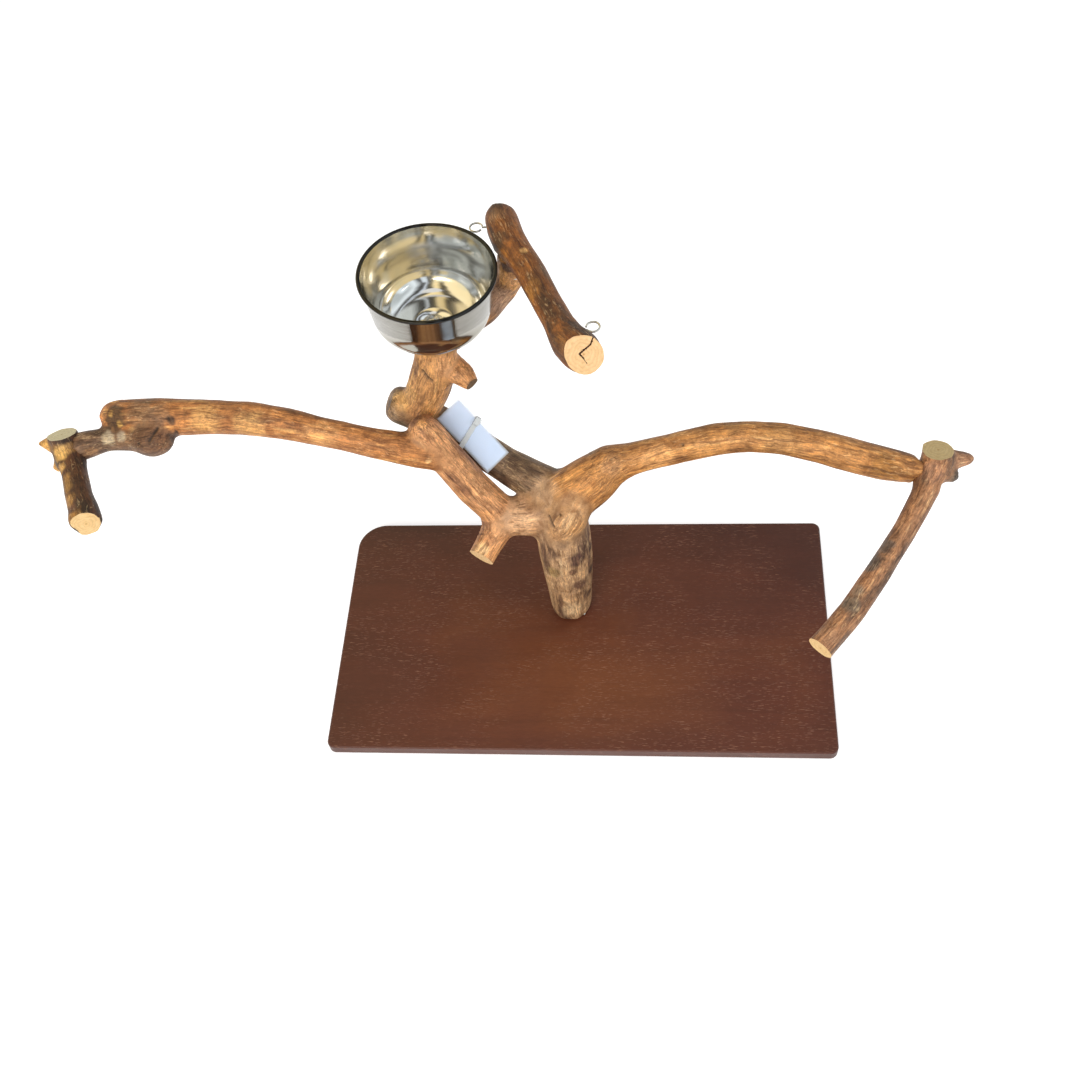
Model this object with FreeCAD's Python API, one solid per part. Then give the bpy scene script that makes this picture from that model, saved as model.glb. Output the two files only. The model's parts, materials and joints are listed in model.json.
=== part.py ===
"""A tabletop play stand for a parrot.

A naturally forked hardwood branch stands upright on a stained board. Three short cross perches are
screwed to the tips of its limbs, a steel food bowl is bolted to the rear limb, two screw eyes carry
toys, and a blank hang tag is strapped below the bowl.

Frame: millimetres, +Z up, +X along the board's long side, +Y away from the front edge. The origin is
the middle of the board's footprint, on the surface that the rubber feet rest on.
"""
import FreeCAD, Part
import math
import os
from FreeCAD import Placement, Rotation, Vector

# ---------------------------------------------------------------- driving dimensions (mm, degrees)
BOARD_LENGTH = 508.0
BOARD_WIDTH = 273.0
BOARD_THICKNESS = 12.0
BOARD_CORNER_RADIUS = 8.0
BOARD_WORN_CORNER_RADIUS = 30.0     # the back left corner was cut much rounder than the others
BOARD_EDGE_BEVEL = 1.2

FOOT_DIAMETER = 22.0
FOOT_HEIGHT = 5.0
FOOT_TAPER = 2.0                    # how much narrower each foot is where it meets the table
FOOT_INSET = 28.0                   # foot centre in from both edges

TRUNK_X = -12.0                     # where the trunk stands on the board
TRUNK_Y = 30.0
LAG_DIAMETER = 8.0
LAG_HEAD_ACROSS = 13.0
LAG_HEAD_HEIGHT = 5.0
LAG_GRIP = 60.0                     # how far the lag screw bites into the trunk
LAG_WASHER_DIAMETER = 16.0
LAG_WASHER_THICKNESS = 1.6
LOCK_SCREW_SPACING = 28.0           # between the two wood screws that stop the trunk turning

WOOD_SCREW_DIAMETER = 4.5           # two lock the trunk and one holds each side limb's perch
WOOD_SCREW_LENGTH = 50.0
WOOD_SCREW_HEAD_DIAMETER = 8.6
WOOD_SCREW_HEAD_HEIGHT = 3.0
DOWEL_SCREW_DIAMETER = 6.0          # headless screw, hidden between the rear limb and its perch
DOWEL_SCREW_LENGTH = 40.0
SCREW_FIT = 0.05                    # wood to screw shank, all round
HEAD_FIT = 0.3                      # wood to screw head, all round

BOWL_RIM_DIAMETER = 120.0           # over the rolled rim
BOWL_DEPTH = 62.0
BOWL_WALL = 0.9
BOWL_BEAD = 3.6                     # thickness of the rolled rim
BOWL_TAPER = 5.0                    # how much the wall leans in, on the radius, from rim to corner
BOWL_CORNER_RADIUS = 24.0
BOWL_SIDES = 48                     # flats that stand for the bowl's round wall, corner and rolled rim
CORNER_CHORDS = 3
BEAD_CHORDS = 4
BEAD_START = -120.0                 # the rolled rim leaves the wall here outside, in degrees
BEAD_TOP = 65.0                     # it is flattened on top from here
BEAD_INSIDE = 150.0                 # and comes down to the wall again here inside
BOWL_LEAN = 3.0                     # the natural limb holds the bowl a little out of level
BOWL_BOLT_DIAMETER = 6.0
BOWL_BOLT_HEAD_DIAMETER = 12.0
BOWL_BOLT_HEAD_HEIGHT = 3.6
BOWL_BOLT_TURN_FIT = 0.08           # running clearance of bowl and limb on the bolt
BOWL_WASHER_DIAMETER = 18.0
BOWL_WASHER_THICKNESS = 1.2
SEAT_WASHER_DIAMETER = 30.0         # rubber washer between bowl and limb
SEAT_WASHER_THICKNESS = 2.5
SEAT_CUT_DEPTH = 5.0                # flat cut into the limb under the washer
SEAT_CUT_MARGIN = 8.0               # flat past the washer's edge
INSERT_BARREL_DIAMETER = 8.5        # threaded insert in the limb's underside
INSERT_FLANGE_DIAMETER = 17.0
INSERT_FLANGE_THICKNESS = 1.4
INSERT_LENGTH = 9.0

EYE_WIRE_DIAMETER = 1.8
EYE_RING_DIAMETER = 13.0            # over the wire
EYE_SHANK_LENGTH = 14.0
EYE_STAND_OFF = 1.5                 # ring to wood
EYE_SWEEP = 325.0                   # how far round the wire is bent
EYE_BENDS = 13                      # straight stretches that stand for the bent wire
WIRE_SIDES = 8

TAG_LENGTH = 70.0
TAG_WIDTH = 26.0
TAG_THICKNESS = 0.5
TAG_SLIDE = -6.0                    # card's middle off the strap's middle, across the limb
TAG_LIFT = -5.0                     # the same along the limb
TAG_SKEW = 14.6                     # how far the card lies turned out of the limb's line
SLEEVE_BORDER = 1.5                 # clear film past the card, each side
SLEEVE_FILM = 0.35
SLEEVE_GAP = 0.05
TIE_WIDTH = 4.8
TIE_THICKNESS = 1.2
TIE_HEAD_LENGTH = 7.0
TIE_HEAD_WIDTH = 5.8
TIE_HEAD_HEIGHT = 4.6
TIE_FIT = 0.3                       # strap to limb and to the sleeve's edges

TOUCH_FIT = 0.02                    # between film, tag and strap where they lie on each other

# ---------------------------------------------------------------- places worked out from them
BOARD_TOP = FOOT_HEIGHT + BOARD_THICKNESS
TRUNK_FOOT = Vector(TRUNK_X, TRUNK_Y, BOARD_TOP)
UP = Vector(0, 0, 1)
RIGHT = Vector(1, 0, 0)
BACK = Vector(0, 1, 0)

# Limb stations: x, y and height from the middle of the trunk's foot, then the thickness there.
TRUNK = [(0, 0, 0, 38), (0, 0, 4, 41), (0, 2, 18, 43), (0, 5, 52, 48), (-1, 10, 90, 53),
         (-3, 19, 122, 54), (-6, 30, 146, 46), (-8, 36, 160, 26)]
TRUNK_BURL = [(-7, 7, 126, 20), (-3, 9, 132, 36), (3, 15, 142, 43), (10, 24, 154, 38)]
RIGHT_LIMB = [(-18, 29, 138, 44), (7, 36, 151, 57), (31, 46, 165, 51), (49, 54, 175, 42),
              (66, 55, 182, 33), (87, 55, 190, 31), (117, 55, 201, 31), (147, 55, 211, 31),
              (175, 52, 218, 30), (207, 45, 223, 30), (241, 36, 222, 32), (273, 27, 218, 32),
              (300, 21, 214, 31), (322, 17, 212, 27)]
LEFT_ARM = [(2, 28, 140, 44), (-18, 25, 137, 44), (-38, 23, 134, 42), (-60, 22, 134, 36)]
LEFT_STEM = [(-82, -13, 114, 27), (-75, 0, 118, 28), (-66, 13, 126, 33), (-65, 25, 140, 38),
             (-87, 32, 170, 37), (-109, 43, 203, 36), (-124, 50, 230, 34), (-130, 52, 240, 29),
             (-134, 54, 246, 18)]
LEFT_LIMB = [(-112, 44, 205, 32), (-127, 40, 216, 34), (-146, 37, 225, 31), (-168, 36, 233, 28),
             (-195, 38, 241, 27), (-226, 42, 247, 28), (-257, 48, 251, 30), (-291, 53, 253, 32),
             (-326, 56, 252, 32), (-357, 58, 250, 34), (-384, 60, 248, 37), (-411, 62, 245, 36),
             (-431, 66, 242, 31), (-442, 69, 240, 20)]
LEFT_TWIG = [(-371, 46, 242, 20), (-379, 44, 240, 32), (-389, 42, 238, 36), (-399, 43, 237, 32),
             (-408, 44, 236, 24), (-422, 45, 234, 22), (-438, 47, 232, 23), (-453, 44, 230, 26),
             (-468, 40, 228, 27)]
REAR_STEM = [(-12, 44, 146, 46), (-34, 55, 153, 40), (-59, 69, 158, 36), (-85, 75, 179, 36),
             (-114, 82, 202, 36), (-139, 87, 218, 37), (-156, 88, 230, 37), (-164, 88, 235, 28)]
REAR_LIMB = [(-135, 88, 226, 38), (-121, 82, 260, 40), (-108, 81, 296, 41), (-104, 82, 328, 40),
             (-83, 100, 326, 31), (-64, 118, 326, 29), (-47, 138, 333, 28), (-36, 132, 357, 28),
             (-32, 120, 379, 27), (-31, 116, 392, 24)]
REAR_STUB = [(-100, 80, 297, 28), (-88, 71, 294, 23), (-80, 65, 291, 18), (-75, 60, 288, 14)]
BOWL_STATION = REAR_LIMB[3]         # the bowl is bolted through here
TIE_STATIONS = REAR_STEM[3:5]       # the strap goes round half way between these

# Cross perch stations: x, y and height from the limb tip that carries the perch, then the thickness.
RIGHT_PERCH = [(20, 8, 17, 28), (22, 6, 8, 31), (20, 0, 0, 33), (14, -10, -4, 29),
               (9, -23, -7, 24), (-11, -58, -14, 22), (-34, -94, -21, 24), (-60, -130, -31, 24),
               (-90, -164, -39, 25)]
RIGHT_PERCH_SEAT = RIGHT_PERCH[3]   # the screw goes through here
RIGHT_PERCH_CUT = (0, 0.25, 0.97)   # which way the sawn face of the upper stub looks
RIGHT_PERCH_TWIGS = [[(20, 5, 3, 24), (34, 8, 3, 21), (47, 10, 1, 15), (56, 11, 0, 9)],
                     [(22, 0, -1, 20), (34, -4, -4, 14), (41, -7, -6, 10)]]
LEFT_PERCH = [(-11, 6, 14, 27), (-9, 2, 6, 29), (-7, -5, -2, 31), (-1, -18, -4, 27),
              (6, -32, -4, 25), (16, -55, -3, 26), (26, -72, -2, 28), (33, -89, -1, 31)]
LEFT_PERCH_SEAT = LEFT_PERCH[2]
LEFT_PERCH_CUT = (-0.1, 0.42, 0.9)
LEFT_PERCH_TWIGS = [[(-10, 0, 4, 24), (-22, 1, 5, 18), (-30, 2, 5, 12), (-38, 2, 5, 6)],
                    [(-8, -8, -4, 24), (-17, -13, -8, 17), (-23, -17, -11, 9)]]
TOP_PERCH = [(-13, 48, 5, 22), (-12, 41, 5, 30), (-9, 28, 6, 32), (-3, 10, 6, 31),
             (6, -5, 5, 28), (20, -31, 5, 27), (33, -62, 5, 26), (44, -88, 7, 26),
             (53, -109, 8, 32), (63, -123, 10, 36), (70, -134, 14, 29)]
TOP_PERCH_CUT = (0.1, -0.8, 0.6)
TOP_PERCH_SEAT = TOP_PERCH[3]       # this lies over the limb's tip
REAR_EYE_STATION = TOP_PERCH[2]     # these carry the toy eyes
FRONT_EYE_STATION = TOP_PERCH[8]

WOOD_LUMPS = 0.035                  # how far the wood's section strays from round, of its radius
LIMB_RIDGES = 10                    # low ridges that run along the main branch's limbs
PERCH_RIDGES = 10
TWIG_RIDGES = 7


# ---------------------------------------------------------------- helpers
def at(origin, station):
    """The middle of a limb station."""
    return origin + Vector(station[0], station[1], station[2])


def direction(points, index):
    """Unit direction of the line of points at one of them."""
    before = points[max(index - 1, 0)]
    after = points[min(index + 1, len(points) - 1)]
    return (after - before).normalize()


def facing(axis, toward):
    """A rotation that turns +Z to axis, and +X as near to toward as it can be."""
    x_axis = toward - axis * toward.dot(axis)
    if x_axis.Length < 0.05:
        x_axis = BACK - axis * BACK.dot(axis)
    return Rotation(x_axis.normalize(), axis.cross(x_axis).normalize(), axis, "ZXY")


def ring(place, thickness, sides, lumps=0.0):
    """Points of one round about a place; lumps is how far it strays from a circle."""
    points = []
    for step in range(sides):
        angle = 2 * math.pi * step / sides
        stray = lumps * (math.sin(2 * angle + 1) + 0.6 * math.sin(3 * angle))
        radius = thickness / 2 * (1 + stray)
        points.append(place.multVec(Vector(radius * math.cos(angle), radius * math.sin(angle), 0)))
    return points


def flat(corners):
    """A flat face through its corners."""
    return Part.Face(Part.makePolygon(corners + corners[:1]))


def skin(rings):
    """A closed solid of flat facets stretched from each ring to the next."""
    facets = [flat(rings[0]), flat(rings[-1])]
    for near, far in zip(rings, rings[1:]):
        for index in range(len(near)):
            after = (index + 1) % len(near)
            facets.append(flat([near[index], near[after], far[index]]))
            facets.append(flat([near[after], far[after], far[index]]))
    return Part.makeSolid(Part.makeShell(facets))


def limb(origin, stations, ridges=LIMB_RIDGES, lumps=WOOD_LUMPS, toward=UP, first_cut=None, last_cut=None):
    """A limb skinned through its stations without twist; a cut gives the way a sawn end looks."""
    points = [at(origin, station) for station in stations]
    rings = []
    for index, station in enumerate(stations):
        axis = direction(points, index)
        if index == 0 and first_cut:
            axis = -Vector(*first_cut).normalize()
        if index == len(stations) - 1 and last_cut:
            axis = Vector(*last_cut).normalize()
        turn = facing(axis, toward)
        toward = turn.multVec(RIGHT)
        rings.append(ring(Placement(points[index], turn), station[3], ridges, lumps))
    return skin(rings)


def many_sided(profile):
    """A round body about +Z with flat sides, from (radius, height) points going up."""
    return skin([ring(Placement(UP * height, Rotation()), 2 * radius, BOWL_SIDES)
                 for radius, height in profile])


def rod(base, axis, diameter, length):
    return Part.makeCylinder(diameter / 2, length, base, axis)


def turned(profile, place=Placement()):
    """A solid of revolution about +Z from (radius, height) points, then put in its place."""
    points = [Vector(radius, 0, height) for radius, height in profile]
    face = Part.Face(Part.makePolygon(points + points[:1]))
    solid = face.revolve(Vector(), UP, 360)
    solid.Placement = place
    return solid


def place_along(base, axis):
    return Placement(base, facing(axis, BACK))


def wood_screw(head, axis):
    """A countersunk screw: the middle of its head's top, and the way that its shank points."""
    shank = WOOD_SCREW_DIAMETER / 2
    profile = [(0, 0), (WOOD_SCREW_HEAD_DIAMETER / 2, 0), (shank, WOOD_SCREW_HEAD_HEIGHT),
               (shank, WOOD_SCREW_LENGTH), (0, WOOD_SCREW_LENGTH)]
    return turned(profile, place_along(head, axis))


def wood_screw_hole(head, axis):
    """What a countersunk screw needs cut away, left open above its head."""
    bore, length = WOOD_SCREW_DIAMETER / 2 + SCREW_FIT, WOOD_SCREW_LENGTH + SCREW_FIT
    mouth, reach = WOOD_SCREW_HEAD_DIAMETER / 2 + HEAD_FIT, WOOD_SCREW_HEAD_DIAMETER
    profile = [(0, -reach), (mouth, -reach), (mouth, 0), (bore, WOOD_SCREW_HEAD_HEIGHT), (bore, length),
               (0, length)]
    return turned(profile, place_along(head, axis))


def washer(base, axis, outer, inner, thickness):
    return rod(base, axis, outer, thickness).cut(rod(base, axis, inner, thickness))


def save(name, solids):
    shape = solids if isinstance(solids, Part.Shape) else Part.makeCompound(solids)
    shape.exportStep("parts/%s.step" % name)
    volume = sum(solid.Volume for solid in shape.Solids)
    print("%-20s solids %2d  valid %s  volume %10.1f" % (name, len(shape.Solids), shape.isValid(), volume))


# ---------------------------------------------------------------- base
def foot_places():
    half_x = BOARD_LENGTH / 2 - FOOT_INSET
    half_y = BOARD_WIDTH / 2 - FOOT_INSET
    return [Vector(sx * half_x, sy * half_y, 0) for sx in (-1, 1) for sy in (-1, 1)]


def make_board():
    """The stained board, its underside bored for the lag screw and pierced for every screw."""
    board = Part.makeBox(BOARD_LENGTH, BOARD_WIDTH, BOARD_THICKNESS,
                         Vector(-BOARD_LENGTH / 2, -BOARD_WIDTH / 2, FOOT_HEIGHT))
    worn, square = [], []
    for edge in board.Edges:
        middle = edge.CenterOfMass
        if edge.BoundBox.ZLength > BOARD_THICKNESS / 2:
            (worn if middle.x < 0 < middle.y else square).append(edge)
    board = board.makeFillet(BOARD_CORNER_RADIUS, square)
    worn = [edge for edge in board.Edges if edge.BoundBox.ZLength > BOARD_THICKNESS / 2
            and edge.CenterOfMass.x < -BOARD_LENGTH / 2 + 1 and edge.CenterOfMass.y > BOARD_WIDTH / 2 - 1]
    board = board.makeFillet(BOARD_WORN_CORNER_RADIUS, worn)
    top_edges = [edge for edge in board.Edges if edge.BoundBox.ZMin > BOARD_TOP - 0.01]
    board = board.makeChamfer(BOARD_EDGE_BEVEL, top_edges)

    recess = LAG_WASHER_THICKNESS + LAG_HEAD_HEIGHT
    below = Vector(TRUNK_X, TRUNK_Y, FOOT_HEIGHT)
    board = board.cut(rod(below, UP, LAG_WASHER_DIAMETER + 2 * HEAD_FIT, recess))
    board = board.cut(rod(below, UP, LAG_DIAMETER + 2 * SCREW_FIT, BOARD_THICKNESS))
    return board.cut([wood_screw_hole(head, UP) for head in lock_screw_places()])


def make_feet():
    """Four tapered rubber feet, stuck to the board's underside."""
    return [Part.makeCone((FOOT_DIAMETER - FOOT_TAPER) / 2, FOOT_DIAMETER / 2, FOOT_HEIGHT, place)
            for place in foot_places()]


def lag_seat():
    """Where the lag screw's head meets its washer, in the board's underside."""
    return Vector(TRUNK_X, TRUNK_Y, FOOT_HEIGHT + LAG_HEAD_HEIGHT)


def lag_length():
    return BOARD_THICKNESS - LAG_HEAD_HEIGHT + LAG_GRIP


def make_lag_screw():
    """Hexagon headed lag screw that holds the trunk from below; its tip is tapered."""
    seat = lag_seat()
    corners = ring(Placement(seat - UP * LAG_HEAD_HEIGHT, Rotation()),
                   LAG_HEAD_ACROSS / math.cos(math.pi / 6), 6)
    head = flat(corners).extrude(UP * LAG_HEAD_HEIGHT)
    radius, length = LAG_DIAMETER / 2, lag_length()
    shank = turned([(0, 0), (radius, 0), (radius, length - radius), (radius / 2, length), (0, length)],
                   Placement(seat, Rotation()))
    return head.fuse(shank).removeSplitter()


def make_lag_washer():
    return washer(lag_seat(), UP, LAG_WASHER_DIAMETER, LAG_DIAMETER + 2 * SCREW_FIT, LAG_WASHER_THICKNESS)


def lock_screw_places():
    """Head tops of the two screws beside the lag screw, flush with the board's underside."""
    middle = Vector(TRUNK_X, TRUNK_Y, FOOT_HEIGHT)
    return [middle + BACK * (side * LOCK_SCREW_SPACING / 2) for side in (-1, 1)]


# ---------------------------------------------------------------- the natural branch and its perches
def limb_tip(stations):
    return at(TRUNK_FOOT, stations[-1])


def make_right_perch():
    """Cross perch at the right limb's tip: a natural crook with a sawn stub on top and two twig stubs."""
    tip = limb_tip(RIGHT_LIMB)
    perch = limb(tip, RIGHT_PERCH, ridges=PERCH_RIDGES, first_cut=RIGHT_PERCH_CUT)
    twigs = [limb(tip, stations, ridges=TWIG_RIDGES) for stations in RIGHT_PERCH_TWIGS]
    return perch.fuse(twigs)


def make_left_perch():
    """Cross perch at the left twig's tip: a sawn stub on top and two pared points at its outer side."""
    tip = limb_tip(LEFT_TWIG)
    perch = limb(tip, LEFT_PERCH, ridges=PERCH_RIDGES, first_cut=LEFT_PERCH_CUT)
    twigs = [limb(tip, stations, toward=BACK, ridges=TWIG_RIDGES) for stations in LEFT_PERCH_TWIGS]
    return perch.fuse(twigs)


def make_top_perch():
    """Cross perch that lies over the rear limb's tip, its front end flared and sawn off square."""
    return limb(limb_tip(REAR_LIMB), TOP_PERCH, ridges=PERCH_RIDGES, last_cut=TOP_PERCH_CUT)


def make_branch():
    """The one-piece forked branch, before anything is cut into it."""
    trunk = limb(TRUNK_FOOT, TRUNK, toward=RIGHT, first_cut=(0, 0, -1))
    pieces = [limb(TRUNK_FOOT, stations) for stations in
              (TRUNK_BURL, RIGHT_LIMB, LEFT_ARM, LEFT_STEM, LEFT_LIMB, LEFT_TWIG, REAR_LIMB, REAR_STUB)]
    pieces.append(limb(TRUNK_FOOT, REAR_STEM, lumps=0.0))
    return trunk.fuse(pieces)


def perch_screw_line(stations, seat):
    """Head place and direction of the screw through a perch's seat into the limb behind it."""
    middle = at(limb_tip(stations), seat)
    axis = (at(TRUNK_FOOT, stations[-2]) - middle).normalize()
    return middle - axis * (seat[3] / 2 - WOOD_SCREW_HEAD_HEIGHT), axis


def right_screw_line():
    return perch_screw_line(RIGHT_LIMB, RIGHT_PERCH_SEAT)


def left_screw_line():
    return perch_screw_line(LEFT_TWIG, LEFT_PERCH_SEAT)


def make_wood_screws():
    lines = [(head, UP) for head in lock_screw_places()] + [right_screw_line(), left_screw_line()]
    return [wood_screw(head, axis) for head, axis in lines]


def dowel_screw(fit=0.0):
    """Headless screw half in the rear limb's tip and half in its perch; fit widens it to its bore."""
    middle = at(limb_tip(REAR_LIMB), TOP_PERCH_SEAT)
    axis = (middle - at(TRUNK_FOOT, REAR_LIMB[-2])).normalize()
    seam = middle - axis * (TOP_PERCH_SEAT[3] / 2)
    length = DOWEL_SCREW_LENGTH + 2 * fit
    return rod(seam - axis * (length / 2), axis, DOWEL_SCREW_DIAMETER + 2 * fit, length)


# ---------------------------------------------------------------- the bowl and what holds it
BOWL_AXIS = Rotation(BACK, BOWL_LEAN).multVec(UP)


def bowl_seat():
    """Middle of the flat that is cut into the rear limb for the bowl."""
    return at(TRUNK_FOOT, BOWL_STATION) + BOWL_AXIS * (BOWL_STATION[3] / 2 - SEAT_CUT_DEPTH)


def bowl_base():
    """Middle of the bowl's underside."""
    return bowl_seat() + BOWL_AXIS * SEAT_WASHER_THICKNESS


def bowl_place():
    return place_along(bowl_base(), BOWL_AXIS)


def arc_points(centre, radius, start, end, chords):
    """Points on an arc in the (radius, height) plane; angles in degrees from the outward direction."""
    turns = [math.radians(start + (end - start) * step / chords) for step in range(chords + 1)]
    return [(centre[0] + radius * math.cos(turn), centre[1] + radius * math.sin(turn)) for turn in turns]


def make_bowl():
    """Pressed steel bowl: rolled rim, leaning wall, round corner and a bolt hole in its floor."""
    bead = BOWL_BEAD / 2
    rim = (BOWL_RIM_DIAMETER / 2 - bead, BOWL_DEPTH - bead * math.sin(math.radians(BEAD_TOP)))
    corner = (rim[0] - bead + BOWL_WALL - BOWL_TAPER - BOWL_CORNER_RADIUS, BOWL_CORNER_RADIUS)
    outside = arc_points(corner, BOWL_CORNER_RADIUS, -90, 0, CORNER_CHORDS)
    outside += arc_points(rim, bead, BEAD_START, BEAD_TOP, BEAD_CHORDS)
    inside = arc_points(corner, BOWL_CORNER_RADIUS - BOWL_WALL, -90, 0, CORNER_CHORDS)
    inside += arc_points(rim, bead, BEAD_INSIDE, 180 - BEAD_TOP, 1)
    inside.append((inside[-1][0], BOWL_DEPTH + BOWL_BEAD))
    bolt_hole = rod(Vector(), UP, BOWL_BOLT_DIAMETER + 2 * BOWL_BOLT_TURN_FIT, BOWL_CORNER_RADIUS)
    bowl = many_sided(outside).cut([many_sided(inside), bolt_hole])
    bowl.Placement = bowl_place()
    return bowl


def make_bowl_washer():
    """Steel washer on the bowl's floor."""
    base = bowl_base() + BOWL_AXIS * BOWL_WALL
    return washer(base, BOWL_AXIS, BOWL_WASHER_DIAMETER, BOWL_BOLT_DIAMETER + 2 * SCREW_FIT, BOWL_WASHER_THICKNESS)


def make_seat_washer():
    """Rubber washer that the bowl stands on."""
    return washer(bowl_seat(), BOWL_AXIS, SEAT_WASHER_DIAMETER,
                  BOWL_BOLT_DIAMETER + 2 * BOWL_BOLT_TURN_FIT, SEAT_WASHER_THICKNESS)


def limb_thickness_at_bolt():
    return BOWL_STATION[3] - 2 * SEAT_CUT_DEPTH


def insert_face():
    """Outer face of the threaded insert's flange, sunk in a flat on the limb's underside."""
    return bowl_seat() - BOWL_AXIS * limb_thickness_at_bolt()


def make_bowl_bolt():
    """Round headed bolt from inside the bowl down into the threaded insert."""
    head_seat = bowl_base() + BOWL_AXIS * (BOWL_WALL + BOWL_WASHER_THICKNESS)
    length = BOWL_WASHER_THICKNESS + BOWL_WALL + SEAT_WASHER_THICKNESS + limb_thickness_at_bolt()
    radius, height = BOWL_BOLT_HEAD_DIAMETER / 2, BOWL_BOLT_HEAD_HEIGHT
    shank = BOWL_BOLT_DIAMETER / 2
    profile = [(0, -height), (0.7 * radius, -0.8 * height), (radius, -0.3 * height), (radius, 0), (shank, 0),
               (shank, length), (0, length)]
    return turned(profile, place_along(head_seat, -BOWL_AXIS))


def make_insert():
    """Threaded insert driven into the limb's underside: a barrel with a flange."""
    face = insert_face()
    body = rod(face, BOWL_AXIS, INSERT_FLANGE_DIAMETER, INSERT_FLANGE_THICKNESS)
    body = body.fuse(rod(face, BOWL_AXIS, INSERT_BARREL_DIAMETER, INSERT_LENGTH))
    return body.cut(rod(face, BOWL_AXIS, BOWL_BOLT_DIAMETER + 2 * BOWL_BOLT_TURN_FIT, INSERT_LENGTH))


def bowl_cuts():
    """What the bowl's fixings need cut out of the rear limb."""
    seat, face = bowl_seat(), insert_face()
    reach = BOWL_STATION[3]
    return [rod(seat, BOWL_AXIS, SEAT_WASHER_DIAMETER + 2 * SEAT_CUT_MARGIN, reach),
            rod(seat, -BOWL_AXIS, BOWL_BOLT_DIAMETER + 2 * BOWL_BOLT_TURN_FIT, reach),
            rod(face + BOWL_AXIS * INSERT_LENGTH, -BOWL_AXIS, INSERT_BARREL_DIAMETER + 2 * SCREW_FIT, reach),
            rod(face + BOWL_AXIS * INSERT_FLANGE_THICKNESS, -BOWL_AXIS,
                INSERT_FLANGE_DIAMETER + 2 * HEAD_FIT, reach)]


# ---------------------------------------------------------------- toy eyes
def eye_places():
    """For each toy eye: where its shank leaves the wood, and the way it points."""
    tip = limb_tip(REAR_LIMB)
    rear_way = Vector(-1, 0, 0)
    front_way = Vector(0.82, 0.57, 0).normalize()
    return [(at(tip, REAR_EYE_STATION) + rear_way * (REAR_EYE_STATION[3] / 2), rear_way),
            (at(tip, FRONT_EYE_STATION) + front_way * (FRONT_EYE_STATION[3] / 2), front_way)]


def make_eye(base, way):
    """Screw eye: one wire, driven into the wood and bent into a level ring that stays a little open."""
    reach = (EYE_RING_DIAMETER - EYE_WIRE_DIAMETER) / 2
    middle = base + way * (EYE_STAND_OFF + EYE_RING_DIAMETER / 2)
    spots = [base - way * EYE_SHANK_LENGTH]
    for step in range(EYE_BENDS + 1):
        turn = Rotation(UP, EYE_SWEEP * step / EYE_BENDS)
        spots.append(middle + turn.multVec(-way) * reach)
    return limb(Vector(), [(spot.x, spot.y, spot.z, EYE_WIRE_DIAMETER) for spot in spots],
                ridges=WIRE_SIDES, lumps=0.0)


def eye_hole(base, way):
    return rod(base + way * EYE_RING_DIAMETER, -way, EYE_WIRE_DIAMETER + 2 * SCREW_FIT,
               EYE_RING_DIAMETER + EYE_SHANK_LENGTH + SCREW_FIT)


# ---------------------------------------------------------------- hang tag
def tie_frame():
    """The strap's place on the rear stem: +X across it, +Y out of the card's face, +Z along the stem."""
    start, end = [at(TRUNK_FOOT, station) for station in TIE_STATIONS]
    along = (end - start).normalize()
    outward = Vector(0.1, -0.56, 0.82)
    outward = (outward - along * outward.dot(along)).normalize()
    return Placement((start + end) / 2, Rotation(outward.cross(along), outward, along, "ZYX"))


def card_frame():
    return tie_frame().multiply(Placement(Vector(TAG_SLIDE, 0, TAG_LIFT), Rotation(BACK, -TAG_SKEW)))


def sleeve_base():
    """How far the back of the sleeve stands off the stem's middle."""
    return max(station[3] for station in TIE_STATIONS) / 2 + TIE_FIT


def slab(width, thickness, length, offset):
    """A flat piece in the card's frame, its back at offset from the stem's middle."""
    block = Part.makeBox(width, thickness, length, Vector(-width / 2, offset, -length / 2))
    block.Placement = card_frame().multiply(block.Placement)
    return block


def sleeve_thickness():
    return 2 * SLEEVE_FILM + TAG_THICKNESS + 2 * SLEEVE_GAP


def make_tag():
    return slab(TAG_WIDTH, TAG_THICKNESS, TAG_LENGTH, sleeve_base() + SLEEVE_FILM + SLEEVE_GAP)


def make_sleeve():
    """Clear pocket round the card, closed on all sides like a heat-sealed one."""
    width, length = TAG_WIDTH + 2 * SLEEVE_BORDER, TAG_LENGTH + 2 * SLEEVE_BORDER
    outside = slab(width, sleeve_thickness(), length, sleeve_base())
    pocket = slab(TAG_WIDTH + 2 * SLEEVE_GAP, TAG_THICKNESS + 2 * SLEEVE_GAP, TAG_LENGTH + 2 * SLEEVE_GAP,
                  sleeve_base() + SLEEVE_FILM)
    return outside.cut(pocket)


def sleeve_edge(side):
    """Where the skewed sleeve's edge passes under the strap's margin, across the limb."""
    skew = math.radians(TAG_SKEW)
    half_width = (TAG_WIDTH / 2 + SLEEVE_BORDER) / math.cos(skew) + TIE_WIDTH / 2 * math.tan(skew)
    return TAG_SLIDE + TAG_LIFT * math.tan(skew) + side * half_width


def strap_side(side, grow):
    """One side of the strap: its bend at the sleeve's edge, and where it meets the stem's round."""
    radius = sleeve_base() + grow
    bend = Vector(sleeve_edge(side) + side * (TIE_FIT + grow),
                  sleeve_base() + sleeve_thickness() + TOUCH_FIT + grow, 0)
    turn = math.atan2(bend.y, side * bend.x) - math.acos(radius / bend.Length)
    return bend, Vector(side * radius * math.cos(turn), radius * math.sin(turn), 0)


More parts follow.
